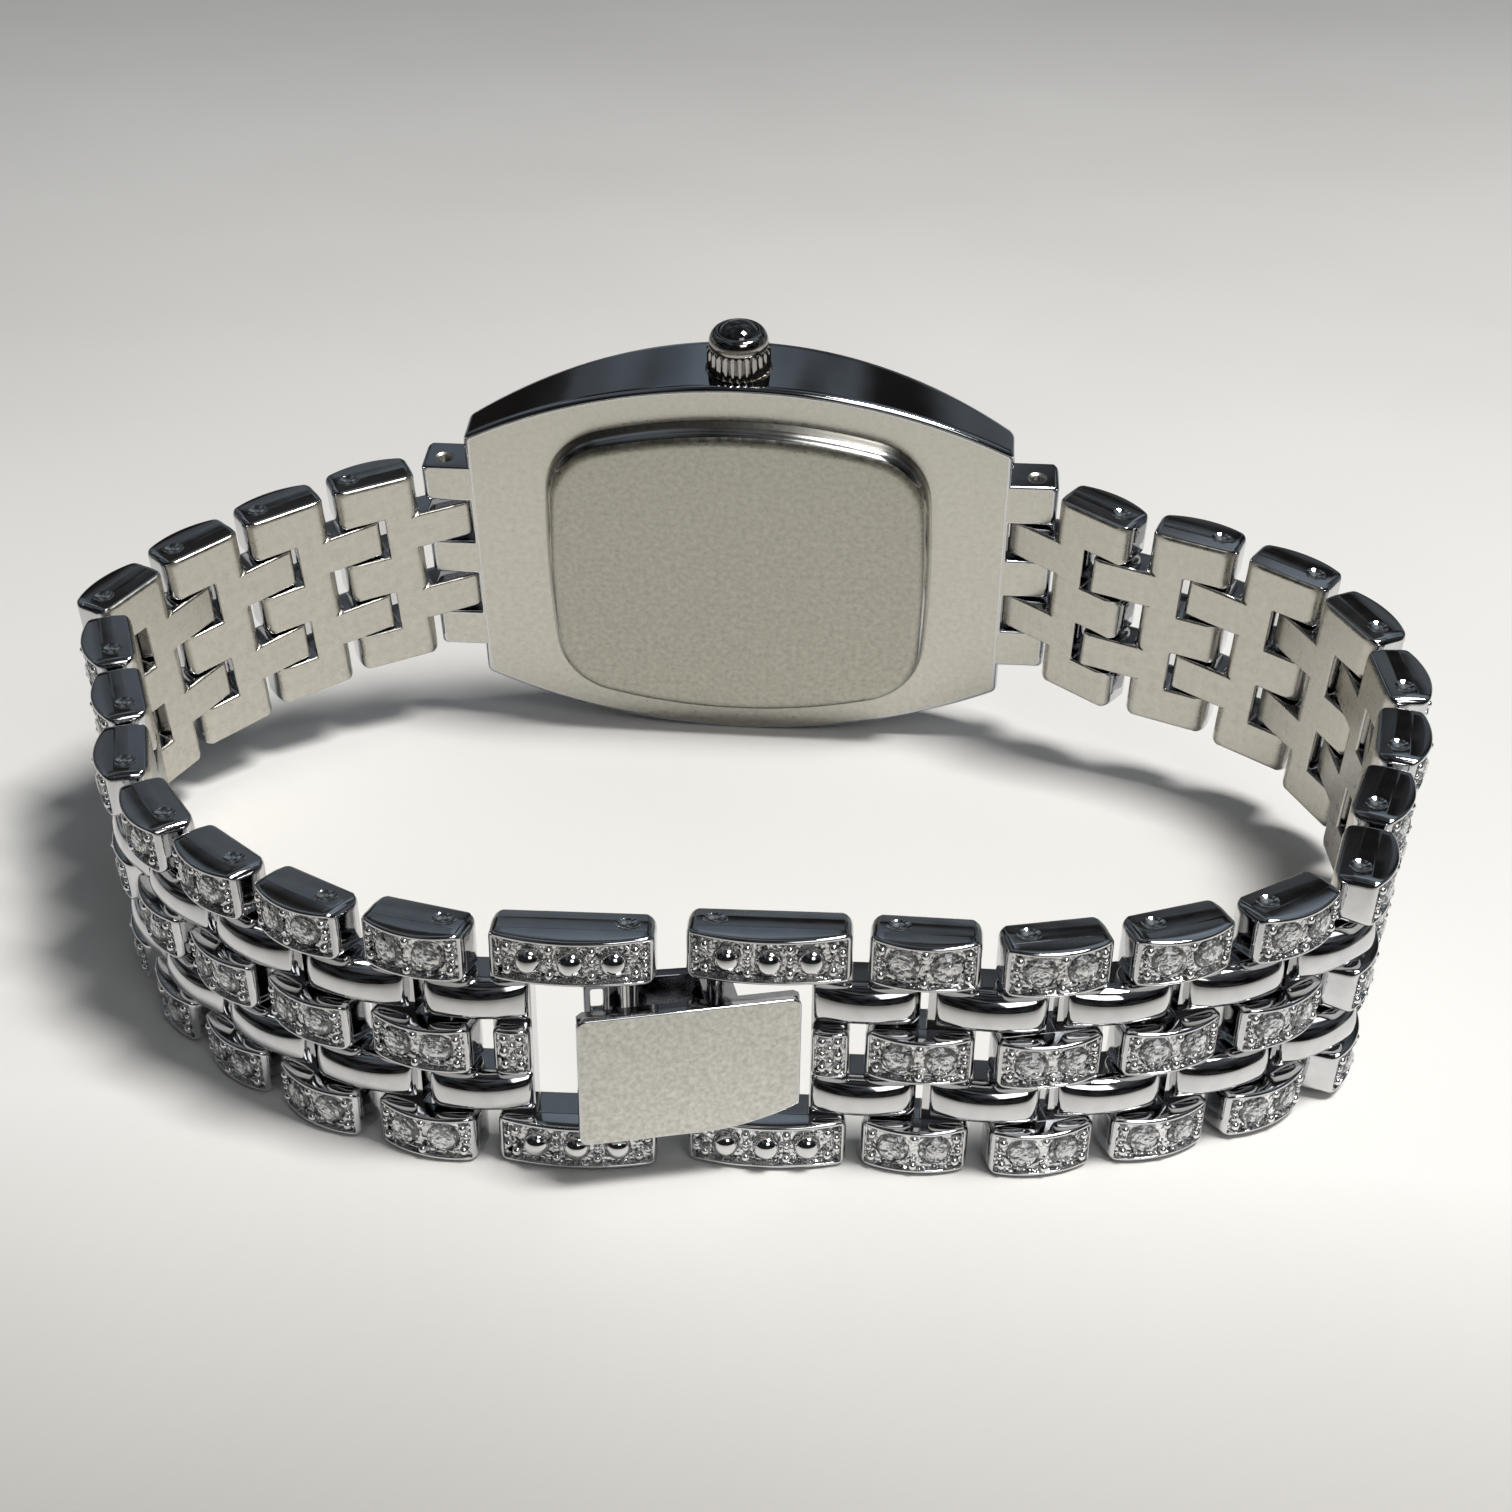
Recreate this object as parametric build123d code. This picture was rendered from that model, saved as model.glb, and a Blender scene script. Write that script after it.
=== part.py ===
from build123d import *
import math
import os

os.makedirs("parts", exist_ok=True)

# ---------------------------------------------------------------- driving dimensions (mm)
# bracelet
WIDTH = 13.0          # bracelet width, five rows
ROW = WIDTH / 5       # one row
SIDE_GAP = 0.13       # play on each side of a finger in its slot
PITCH = 5.84          # hinge to hinge
BLOCK = 5.10          # length of an outer or centre block
END = 1.30            # from the far pin to the end of the block
INNER = 1.16          # pin axis to the skin side face
OUTER = 1.70          # pin axis to the crest of the outer face
SHOULDER = 1.00       # height of the outer face at a block's ends
FINGER_R = 1.15       # round tip of a finger
SPINE_GAP = 1.50      # from the far pin back to the spine
PIN_R = 0.40
PIN_HOLE_R = 0.405    # pressed fit in the blocks
FINGER_HOLE_R = 0.50  # loose fit in the fingers
PIN_LEN = WIDTH - 0.5
STONE_R = 0.78
STONE_X = 1.12        # stones stand this far each side of the block's middle
# clasp
FRAME_PIN = 8.34      # frame hinge to its cross pin
FRAME_END = 1.30
WINDOW = 3.85         # where the window starts
CROSS_R = 0.45
CROSS_HOLE_R = 0.455
KNUCKLE_R = 0.95
KNUCKLE_HOLE_R = 0.52
BLADE_H = 6.10
COVER_H = 6.98
COVER_LEFT = 6.85     # reach of the cover past its hinge, towards the left frame
COVER_TAIL = 3.575    # reach of the cover's tail
COVER_CUT = 0.58      # start of the curved cut at its lower right corner
COVER_OUT = 2.40      # outer face above the hinge
COVER_OPEN = 3.6      # degrees that it stands open in the photo
COVER_LOW = -0.30     # play along the hinge
# case
CASE_L = 32.4
CASE_H_END = 17.2
CASE_H_MID = 24.8
CASE_T_MID = 5.6      # back plane to the front, at the middle
CASE_T_END = 2.7
LUG_X = 17.65         # lug hinge from the middle
LUG_DEPTH = 1.04      # lug hinge below the back plane
BACK_RISE = 1.3       # the snap back stands proud by this
CROWN_R = 1.85
CROWN_Z = -2.4        # crown axis below the back plane

# Rest pose of the chain: (bend, lean, slope) in degrees at each hinge, counted from the case.
# Loose pins let each link lean up to about one degree against its neighbour.
LEFT_POSE = [
    (27.99, 0.68, 0.73), (9.16, 1.0, -0.17), (11.02, 0.65, -0.81), (15.46, 0.5, -0.95),
    (47.47, -0.4, -1.01), (1.17, -0.42, -1.02), (-5.65, -0.32, -1.05), (18.59, -0.65, -0.85),
    (13.65, -0.93, -0.49), (10.63, -1.03, 0.11), (16.37, -0.9, 0.49), (16.57, -0.99, 0.18),
]
RIGHT_POSE = [
    (-36.09, -0.95, 0.38), (16.78, -0.82, 0.66), (-12.65, -1.03, 0.19), (-28.22, -0.48, -0.95),
    (-22.45, 0.03, -1.08), (-17.42, 0.34, -1.03), (-7.58, 0.47, -0.97), (3.55, 0.57, -0.89),
    (-38.23, 1.0, -0.28), (-13.16, 1.03, 0.02), (-8.95, 1.03, 0.04), (-16.11, 1.03, 0.06),
    (2.17, 0.98, 0.27),
]
# How the standing watch is turned from the case's own frame, and moved so that it rests on z = 0.
STAND_ROT = (12.24, -0.42, 0.0)
STAND_MOVE = (-1.308, 19.434, 12.045)


# ---------------------------------------------------------------- helpers
def prism(face, z0, z1):
    """Extrude a face drawn on the XY plane from z0 to z1."""
    return Pos(0, 0, z0) * extrude(face, amount=z1 - z0)


def cyl(r, x, y, z0, z1):
    """Cylinder along Z."""
    return Pos(x, y, (z0 + z1) / 2) * Cylinder(r, z1 - z0)


def cyl_y(r, x, z, y0, y1):
    """Cylinder along Y."""
    return Pos(x, (y0 + y1) / 2, z) * Rot(90, 0, 0) * Cylinder(r, y1 - y0)


def box(x0, x1, y0, y1, z0, z1):
    return Pos((x0 + x1) / 2, (y0 + y1) / 2, (z0 + z1) / 2) * Box(x1 - x0, y1 - y0, z1 - z0)


def arched_block(x0, x1, shoulder, crest, inner, r=0.35):
    """Side view of a block: flat skin side, arched outer side, soft skin side corners."""
    m = (x0 + x1) / 2
    k = r * (1 - math.sqrt(0.5))
    line = Polyline((x0 + r, -inner), (x1 - r, -inner)) + ThreePointArc((x1 - r, -inner), (x1 - k, -inner + k), (x1, -inner + r))
    line += Polyline((x1, -inner + r), (x1, shoulder)) + ThreePointArc((x1, shoulder), (m, crest), (x0, shoulder))
    line += Polyline((x0, shoulder), (x0, -inner + r)) + ThreePointArc((x0, -inner + r), (x0 + k, -inner + k), (x0 + r, -inner))
    return make_face(line)


ROWS_OUT = (-2 * ROW, 0.0, 2 * ROW)   # blocks: rows 1, 3 and 5
ROWS_IN = (-ROW, ROW)                 # fingers: rows 2 and 4
B0 = PITCH + END - BLOCK              # start of a block past the near hinge
B1 = PITCH + END


def channel(x0, x1, z, shoulder, crest, depth, rim=0.20):
    """Cutter for the stone channel of a block. Its floor follows the arch."""
    m = (x0 + x1) / 2
    side = make_face(Polyline((x0, shoulder - depth), (x0, 3), (x1, 3), (x1, shoulder - depth)) + ThreePointArc((x1, shoulder - depth), (m, crest - depth), (x0, shoulder - depth)))
    h = ROW / 2 - rim
    return prism(side, z - h, z + h) & box(x0 + rim, x1 - rim, 0, 4, z - h - 1, z + h + 1)


def fingers(x_end):
    """Two fingers with round tips about the near hinge."""
    h = ROW / 2 - SIDE_GAP
    side = make_face(
        Polyline((0, -FINGER_R), (x_end, -FINGER_R), (x_end, FINGER_R), (0, FINGER_R))
        + ThreePointArc((0, FINGER_R), (-FINGER_R, 0), (0, -FINGER_R))
    )
    return [prism(side, z - h, z + h) for z in ROWS_IN]


def stone(x, z):
    """Round stone, table outwards."""
    base = 0.92
    return Pos(x, base + 0.16, z) * Rot(-90, 0, 0) * Cylinder(STONE_R, 0.32) + Pos(x, base + 0.47, z) * Rot(-90, 0, 0) * Cone(STONE_R, 0.45, 0.30)


def make_link():
    """One link: a casting of three blocks and two fingers, its pin and six stones."""
    side = arched_block(B0, B1, SHOULDER, OUTER, INNER)
    body = [prism(side, z - ROW / 2, z + ROW / 2) for z in ROWS_OUT]
    body += fingers(PITCH - SPINE_GAP)
    body.append(box(B0 + 0.15, PITCH - SPINE_GAP, -INNER + 0.06, 1.02, -WIDTH / 2 + 0.1, WIDTH / 2 - 0.1))
    cast = body[0].fuse(*body[1:]).clean()
    cast -= [channel(B0, B1, z, SHOULDER, OUTER, 0.32) for z in ROWS_OUT]
    m = (B0 + B1) / 2
    cast -= cyl(PIN_HOLE_R, PITCH, 0, -7, 7)
    cast -= cyl(FINGER_HOLE_R, 0, 0, -7, 7)
    seats = [(m + s * STONE_X, z) for z in ROWS_OUT for s in (-1, 1)]
    cast -= [cyl_y(STONE_R + 0.04, x, z, 0.90, 2.5) for x, z in seats]
    pin = cyl(PIN_R, PITCH, 0, -PIN_LEN / 2, PIN_LEN / 2)
    return [cast] + [pin] + [stone(x, z) for x, z in seats]


def make_frame():
    """Clasp frame: fingers, half block, two long bars round a window."""
    end = FRAME_PIN + FRAME_END
    bar = arched_block(B0, end, SHOULDER, OUTER, INNER)
    half = arched_block(B0, WINDOW, SHOULDER + 0.2, SHOULDER + 0.45, INNER, 0.25)
    body = [prism(bar, z - ROW / 2, z + ROW / 2) for z in (ROWS_OUT[0], ROWS_OUT[2])]
    body.append(prism(half, -ROW / 2, ROW / 2))
    body += fingers(WINDOW)
    body.append(box(B0 + 0.15, WINDOW, -INNER + 0.06, 1.02, -WIDTH / 2 + 0.1, WIDTH / 2 - 0.1))
    cast = body[0].fuse(*body[1:]).clean()
    cast -= [channel(B0, end, z, SHOULDER, OUTER, 0.42) for z in (ROWS_OUT[0], ROWS_OUT[2])] + [channel(B0, WINDOW, 0, SHOULDER + 0.2, SHOULDER + 0.45, 0.30)]
    m = (B0 + end) / 2
    beads = [Pos(m + dx, 1.28, z) * Sphere(0.64) for z in (ROWS_OUT[0], ROWS_OUT[2]) for dx in (-1.93, 0, 1.93)]
    cast = cast.fuse(*beads)
    cast -= cyl(FINGER_HOLE_R, 0, 0, -7, 7)
    cast -= cyl(CROSS_HOLE_R, FRAME_PIN, 0, -7, 7)
    pin = cyl(CROSS_R, FRAME_PIN, 0, -PIN_LEN / 2, PIN_LEN / 2)
    return cast, pin


def make_blade(span, mid):
    """Inner blade: a plate with a knuckle round each cross pin and a small catch loop."""
    h = BLADE_H / 2
    plate = box(-0.35, span + 0.9, -1.40, -0.80, mid - h, mid + h)
    out = plate + cyl(KNUCKLE_R, 0, 0, mid - 1.4, mid + 1.4) + cyl(KNUCKLE_R, span, 0, mid - 1.4, mid + 1.4)
    loop = box(span + 0.85, span + 2.05, -1.40, -0.90, mid + 0.95, mid + 2.75) - box(span + 1.14, span + 1.74, -2, 0, mid + 1.26, mid + 2.44)
    out += loop
    out -= cyl(KNUCKLE_HOLE_R, 0, 0, -7, 7)
    out -= cyl(KNUCKLE_HOLE_R, span, 0, -7, 7)
    return out


def make_cover(mid):
    """Cover: a pressed channel with ears round the right cross pin. It stands a few degrees open, and the lower right corner of its plate is cut in a curve."""
    h, e = COVER_H / 2, 0.74
    line = Polyline((COVER_CUT, -h), (COVER_LEFT, -h), (COVER_LEFT, h), (-COVER_TAIL, h), (-COVER_TAIL, -2.40)) + ThreePointArc((-COVER_TAIL, -2.40), (-1.60, -3.14), (COVER_CUT, -h))
    out = Rot(90, 0, 0) * prism(make_face(line), -COVER_OUT, 0.38 - COVER_OUT)
    for s in (-1, 1):
        z0, z1 = sorted((s * h, s * (h - 0.33)))
        out += box(-COVER_TAIL if s > 0 else COVER_CUT, COVER_LEFT, COVER_OUT - 0.85, COVER_OUT - 0.30, z0, z1)
        out += box(-e, e, 0.0, COVER_OUT - 0.38, z0, z1) + cyl(e, 0, 0, z0, z1)
    out -= cyl(KNUCKLE_HOLE_R, 0, 0, -7, 7)
    return Rot(0, 0, COVER_OPEN) * Pos(0, 0, mid + COVER_LOW) * out


# ---------------------------------------------------------------- case, lying face down: X length, Y height, Z towards the back
def barrel(half_l, half_end, half_mid, bow=0.0):
    """Barrel outline: long sides bulge, short sides straight or slightly bowed."""
    a, b, c = half_l, half_end, half_mid
    line = ThreePointArc((-a, b), (0, c), (a, b)) + ThreePointArc((a, -b), (0, -c), (-a, -b))
    if bow:
        line += ThreePointArc((a, b), (a + bow, 0), (a, -b)) + ThreePointArc((-a, -b), (-a - bow, 0), (-a, b))
    else:
        line += Polyline((a, b), (a, -b)) + Polyline((-a, -b), (-a, b))
    return make_face(line)


def soft_barrel(half_l, half_end, half_mid, bow, r):
    f = barrel(half_l, half_end, half_mid, bow)
    return fillet(f.vertices(), r)


def arch(depth_mid, depth_end, half_l, width):
    """Everything between the back plane and an arched front surface."""
    f = make_face(Polyline((-half_l, 3), (half_l, 3), (half_l, -depth_end)) + ThreePointArc((half_l, -depth_end), (0, -depth_mid), (-half_l, -depth_end)) + Polyline((-half_l, -depth_end), (-half_l, 3)))
    return Rot(90, 0, 0) * prism(f, -width / 2, width / 2)


def back_face(inset=0.0):
    return soft_barrel(11.25 - inset, 8.3 - inset, 10.3 - inset, 0.45, 4.6 - inset)


def window_face(inset=0.0):
    return soft_barrel(9.0 - inset, 6.6 - inset, 7.8 - inset, 0.2, 2.2 - inset)


def make_case():
    body = prism(barrel(CASE_L / 2, CASE_H_END / 2, CASE_H_MID / 2), -7, 0)
    body = chamfer(body.faces().sort_by(Axis.Z)[-1].edges(), 0.35)
    body &= arch(CASE_T_MID, CASE_T_END, CASE_L / 2 + 0.01, 40)
    # lugs, notched for the first link's fingers
    lug = make_face(Polyline((15.0, 0), (LUG_X + END - 0.5, 0)) + ThreePointArc((LUG_X + END - 0.5, 0), (LUG_X + END - 0.15, -0.15), (LUG_X + END, -0.5)) + Polyline((LUG_X + END, -0.5), (LUG_X + END, -1.7)) + ThreePointArc((LUG_X + END, -1.7), (LUG_X + END - 0.3, -2.4), (LUG_X + END - 1.0, -2.7)) + Polyline((LUG_X + END - 1.0, -2.7), (15.0, -2.7), (15.0, 0)))
    lug = Rot(90, 0, 0) * prism(lug, -WIDTH / 2, WIDTH / 2)
    body = body.fuse(lug, mirror(lug, Plane.YZ)).clean()
    for s in (-1, 1):
        for y in ROWS_IN:
            x0, x1 = sorted((s * (LUG_X - SPINE_GAP), s * 21))
            # the left notches are wider, because the opened loop's end leaves them at a slight slant
            low, high = (ROW / 2, ROW / 2) if s > 0 else (ROW / 2 + 0.08, ROW / 2 + 0.22)
            body -= box(x0, x1, y - low, y + high, -9, 3)
        body -= Pos(s * LUG_X, 0, -LUG_DEPTH) * Rot(90, 0, 0) * Cylinder(PIN_HOLE_R, 20)
    # snap back seat, movement cavity, dial window, crystal seat
    body -= prism(back_face(0.60), -1.40, 1)
    body -= prism(back_face(1.60), -3.30, 1)
    body -= prism(window_face(0.0), -9, 0)
    # crown seat, tube hole and stem hole
    body -= cyl_y(1.97, 0, CROWN_Z, 12.15, 20)
    body -= cyl_y(0.86, 0, CROWN_Z, 9.4, 20)
    body -= cyl_y(0.45, 0, CROWN_Z, 7.0, 10)
    return body


def make_back():
    out = fillet(prism(back_face(), 0.0, BACK_RISE).faces().sort_by(Axis.Z)[-1].edges(), 0.45)
    out -= prism(back_face(0.95), -1, BACK_RISE - 0.45)
    out += prism(back_face(0.62), -1.0, 0.0) - prism(back_face(1.05), -2, 1)
    return out


def make_crystal():
    shell = arch(5.75, 5.75 - (CASE_T_MID - CASE_T_END), CASE_L / 2, 40) - arch(4.75, 4.75 - (CASE_T_MID - CASE_T_END), CASE_L / 2, 41)
    return prism(window_face(0.42), -9, 3) & shell


def window_ring(inset0, inset1, z_top, deep):
    """Ring that follows the arched window from z_top down to a depth at the middle."""
    ring = prism(window_face(inset0), -9, z_top) - prism(window_face(inset1), -10, 3)
    return ring & arch(deep, deep - (CASE_T_MID - CASE_T_END), CASE_L / 2, 40)


def make_crown():
    c = CROWN_R
    y0 = 12.27
    prof = make_face(
        Polyline((0, y0), (c, y0), (c, y0 + 1.75))
        + ThreePointArc((c, y0 + 1.75), (c * 0.90, y0 + 2.15), (1.30, y0 + 2.50))
        + Polyline((1.30, y0 + 2.50), (0, y0 + 2.50), (0, y0))
    )
    out = Pos(0, 0, CROWN_Z) * revolve(prof, Axis.Y)
    n = 28
    for i in range(n):
        a = 2 * math.pi * i / n
        out -= Pos((c + 0.05) * math.cos(a), y0 + 0.8, CROWN_Z + (c + 0.05) * math.sin(a)) * Rot(90, 0, 0) * Cylinder(0.15, 1.8)
    out -= cyl_y(1.10, 0, CROWN_Z, y0 - 1, 13.45)
    out -= cyl_y(0.31, 0, CROWN_Z, 13, 14.15)
    out -= cyl_y(1.17, 0, CROWN_Z, 14.32, 16)
    return out


def make_cabochon():
    y0, r, low, high = 14.34, 1.15, 0.30, 0.80
    ball = (r * r + (high - low) ** 2) / (2 * (high - low))
    return cyl_y(r, 0, CROWN_Z, y0, y0 + high) & (Pos(0, y0 + high - ball, CROWN_Z) * Sphere(ball))


def hand(length, width, tail, z0, z1, hole):
    pts = [(-width * 0.35, -tail), (width * 0.35, -tail), (width * 0.5, length * 0.25), (0, length), (-width * 0.5, length * 0.25)]
    out = prism(make_face(Polyline(*pts, pts[0])), z0, z1) + cyl(0.75, 0, 0, z0, z1)
    return out - cyl(hole, 0, 0, -9, 9)


def make_markers():
    """Twelve applied bars and dots, generic."""
    out = []
    for i in range(12):
        a = math.radians(30 * i)
        rx, ry = 6.5, 5.4
        long = 1.3 if i % 3 == 0 else 0.8
        out.append(Pos(rx * math.sin(a), ry * math.cos(a), -3.42) * Rot(0, 0, -30 * i) * Box(0.35, long, 0.20))
    return out


case_parts = {}
case_parts["case_middle"] = [make_case()]
case_parts["case_back"] = [make_back()]
case_parts["back_gasket"] = [prism(back_face(0.66), -1.38, -1.04) - prism(back_face(1.10), -2, 0)]
case_parts["front_crystal"] = [make_crystal()]
case_parts["crystal_gasket"] = [window_ring(0.03, 0.39, -3.3, 5.55)]
case_parts["dial_ring"] = [window_ring(0.45, 1.15, -3.32, 4.70)]
case_parts["dial"] = [prism(back_face(1.66), -3.27, -2.92) - cyl(0.72, 0, 0, -9, 0)]
case_parts["hour_markers"] = make_markers()
case_parts["hour_hand"] = [hand(4.3, 0.9, 1.2, -3.72, -3.58, 0.62)]
case_parts["minute_hand"] = [hand(6.0, 0.7, 1.4, -4.05, -3.91, 0.33)]
case_parts["hour_tube"] = [cyl(0.60, 0, 0, -3.80, -2.60) - cyl(0.40, 0, 0, -9, 0)]
case_parts["centre_arbor"] = [cyl(0.32, 0, 0, -4.20, -2.00)]
holder = prism(back_face(1.66), -2.88, -0.80) - prism(RectangleRounded(15.6, 13.3, 2.2), -5, 3) - cyl_y(0.50, 0, CROWN_Z, 5, 12)
case_parts["movement_holder"] = [holder]
plate = prism(RectangleRounded(15.5, 13.2, 2.2), -2.88, -1.92) - cyl(0.66, 0, 0, -4, -2.45) - cyl(0.36, 0, 0, -4, 0) - cyl_y(0.36, 0, CROWN_Z, 3.0, 9)
case_parts["movement_plate"] = [plate]
circuit = prism(RectangleRounded(15.5, 13.2, 2.2), -1.88, -0.85) - cyl(3.5, 3.4, -2.2, -4, 3) - cyl(0.36, 0, 0, -4, 0)
case_parts["movement_circuit"] = [circuit]
case_parts["battery"] = [cyl(3.4, 3.4, -2.2, -1.88, -0.28)]
case_parts["battery_clamp"] = [box(-1.2, 7.2, -2.9, -1.5, -0.26, -0.12) + box(-1.2, -0.6, -2.9, -1.5, -0.83, -0.12)]
case_parts["winding_stem"] = [cyl_y(0.30, 0, CROWN_Z, 3.6, 14.12)]
case_parts["crown_tube"] = [cyl_y(0.85, 0, CROWN_Z, 9.45, 13.35) - cyl_y(0.38, 0, CROWN_Z, 9, 14)]
case_parts["crown_gasket"] = [cyl_y(1.07, 0, CROWN_Z, 12.42, 12.82) - cyl_y(0.89, 0, CROWN_Z, 12, 14)]
case_parts["crown"] = [make_crown()]
case_parts["crown_cabochon"] = [make_cabochon()]
case_parts["lug_pin_right"] = [Pos(LUG_X, 0, -LUG_DEPTH) * Rot(90, 0, 0) * Cylinder(PIN_R, PIN_LEN)]
# The left lug pin is cut away between the blocks, where the loop is opened.
case_parts["lug_pin_left"] = [Pos(-LUG_X, y, -LUG_DEPTH) * Rot(90, 0, 0) * Cylinder(PIN_R, ROW - 0.7) for y in ROWS_OUT]

# ---------------------------------------------------------------- rest pose
flat_to_case = Rot(90, 0, 0)          # face down on the bench -> crown up, back towards -Y
stand = Pos(*STAND_MOVE) * Rot(*STAND_ROT)


def walk(start, pose, last):
    """Frames of the links: near hinge at the origin, X towards the next hinge."""
    at, out = start, []
    for i, (bend, lean, slope) in enumerate(pose):
        here = at * Rot(0, 0, bend) * Rot(lean, 0, 0) * Rot(0, slope, 0)
        out.append(here)
        at = here * Pos(last if i == len(pose) - 1 else PITCH, 0, 0)
    return out, at


left_start = Pos(-LUG_X, LUG_DEPTH, 0) * Rot(0, 0, 180)
right_start = Pos(LUG_X, LUG_DEPTH, 0)
left, left_pin = walk(left_start, LEFT_POSE, FRAME_PIN)
right, right_pin = walk(right_start, RIGHT_POSE, FRAME_PIN)

nodes = {}
for name, shapes in case_parts.items():
    nodes[name] = [stand * flat_to_case * s for s in shapes]
link = make_link()
frame_cast, frame_pin = make_frame()
flip = Rot(180, 0, 0)                 # left half: outer side away from the loop
for i, at in enumerate(left[:-1]):
    nodes["link_left_%02d" % (i + 1)] = [stand * at * flip * s for s in link]
for i, at in enumerate(right[:-1]):
    nodes["link_right_%02d" % (i + 1)] = [stand * at * s for s in link]
nodes["clasp_frame_left"] = [stand * left[-1] * flip * frame_cast]
nodes["clasp_pin_left"] = [stand * left[-1] * flip * frame_pin]
nodes["clasp_frame_right"] = [stand * right[-1] * frame_cast]
nodes["clasp_pin_right"] = [stand * right[-1] * frame_pin]

# The blade joins the two cross pins. Its frame: right pin at the origin, X towards the left pin.
pr, pl = right_pin.position, left_pin.position
zr = (right_pin * Pos(0, 0, 1)).position - pr
zl = (left_pin * Pos(0, 0, 1)).position - pl
z_axis = (zr + zl).normalized()
gap = pl - pr
rise = gap.dot(z_axis)
x_axis = (gap - z_axis * rise)
span = x_axis.length
blade_at = Plane(origin=pr, x_dir=x_axis.normalized(), z_dir=z_axis).location
nodes["clasp_blade"] = [stand * blade_at * make_blade(span, rise / 2)]
nodes["clasp_cover"] = [stand * blade_at * make_cover(rise / 2)]

# ---------------------------------------------------------------- write
for name, shapes in nodes.items():
    export_step(shapes[0] if len(shapes) == 1 else Compound(children=shapes), "parts/%s.step" % name)


def v3(v):
    return [round(v.X, 4), round(v.Y, 4), round(v.Z, 4)]


def axis_of(at):
    p = (stand * at).position
    q = (stand * at * Pos(0, 0, 1)).position
    return v3(p), [round(c, 6) for c in (q - p)]


print("blade span %.4f rise %.4f" % (span, rise))
print("right hinges", [axis_of(a) for a in [right_start] + [x * Pos(PITCH, 0, 0) for x in right[:-1]] + [right_pin]])
print("left hinges", [axis_of(a) for a in [left_start] + [x * Pos(PITCH, 0, 0) for x in left[:-1]] + [left_pin]])
print("hands", axis_of(flat_to_case), "crown", v3((stand * flat_to_case * Pos(0, 0, CROWN_Z)).position), "to", v3((stand * flat_to_case * Pos(0, 1, CROWN_Z)).position))
boxes = [s.bounding_box() for k in nodes.values() for s in k]
lo = [min(tuple(b.min)[i] for b in boxes) for i in range(3)]
hi = [max(tuple(b.max)[i] for b in boxes) for i in range(3)]
print("box", [round(v, 3) for v in lo], [round(v, 3) for v in hi])
print("nodes", len(nodes))
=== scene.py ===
import math

import bpy
import numpy as np
from mathutils import Matrix, Vector


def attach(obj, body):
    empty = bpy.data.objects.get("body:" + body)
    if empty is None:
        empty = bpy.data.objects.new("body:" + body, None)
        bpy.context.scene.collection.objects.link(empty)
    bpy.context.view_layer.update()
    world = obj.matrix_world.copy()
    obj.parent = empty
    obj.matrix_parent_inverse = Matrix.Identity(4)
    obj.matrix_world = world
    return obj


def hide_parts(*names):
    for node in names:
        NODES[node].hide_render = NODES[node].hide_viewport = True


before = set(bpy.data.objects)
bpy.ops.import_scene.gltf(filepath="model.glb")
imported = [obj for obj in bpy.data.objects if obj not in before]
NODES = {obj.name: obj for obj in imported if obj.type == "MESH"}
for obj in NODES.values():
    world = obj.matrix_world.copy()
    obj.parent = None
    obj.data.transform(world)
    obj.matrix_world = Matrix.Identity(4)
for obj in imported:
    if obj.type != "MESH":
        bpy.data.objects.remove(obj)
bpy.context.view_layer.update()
MM = 0.001

# ---------------------------------------------------------------- dimensions, in millimetres, as in the part
WIDTH, ROW, PITCH, BLOCK, END = 13.0, 2.6, 5.84, 5.10, 1.30
INNER, OUTER, SHOULDER = 1.16, 1.70, 1.00
B0, B1 = PITCH + END - BLOCK, PITCH + END
FRAME_PIN, FRAME_END, WINDOW = 8.34, 1.30, 3.85
LUG_X, LUG_DEPTH, CASE_L = 17.65, 1.04, 32.4
CROWN_Z = -2.4
LEFT_POSE = [
    (27.99, 0.68, 0.73), (9.16, 1.0, -0.17), (11.02, 0.65, -0.81), (15.46, 0.5, -0.95),
    (47.47, -0.4, -1.01), (1.17, -0.42, -1.02), (-5.65, -0.32, -1.05), (18.59, -0.65, -0.85),
    (13.65, -0.93, -0.49), (10.63, -1.03, 0.11), (16.37, -0.9, 0.49), (16.57, -0.99, 0.18),
]
RIGHT_POSE = [
    (-36.09, -0.95, 0.38), (16.78, -0.82, 0.66), (-12.65, -1.03, 0.19), (-28.22, -0.48, -0.95),
    (-22.45, 0.03, -1.08), (-17.42, 0.34, -1.03), (-7.58, 0.47, -0.97), (3.55, 0.57, -0.89),
    (-38.23, 1.0, -0.28), (-13.16, 1.03, 0.02), (-8.95, 1.03, 0.04), (-16.11, 1.03, 0.06),
    (2.17, 0.98, 0.27),
]


def rot(x=0.0, y=0.0, z=0.0):
    return (Matrix.Rotation(math.radians(x), 4, "X") @ Matrix.Rotation(math.radians(y), 4, "Y")
            @ Matrix.Rotation(math.radians(z), 4, "Z"))


def pos(x, y, z):
    return Matrix.Translation((x, y, z))


STAND = pos(-1.308, 19.434, 12.045) @ rot(12.24, -0.42, 0.0)
FLAT_TO_CASE = rot(90)


def walk(start, pose, last):
    at, out = start.copy(), []
    for i, (bend, lean, slope) in enumerate(pose):
        here = at @ rot(0, 0, bend) @ rot(lean) @ rot(0, slope)
        out.append(here)
        at = here @ pos(last if i == len(pose) - 1 else PITCH, 0, 0)
    return out, at


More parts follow.
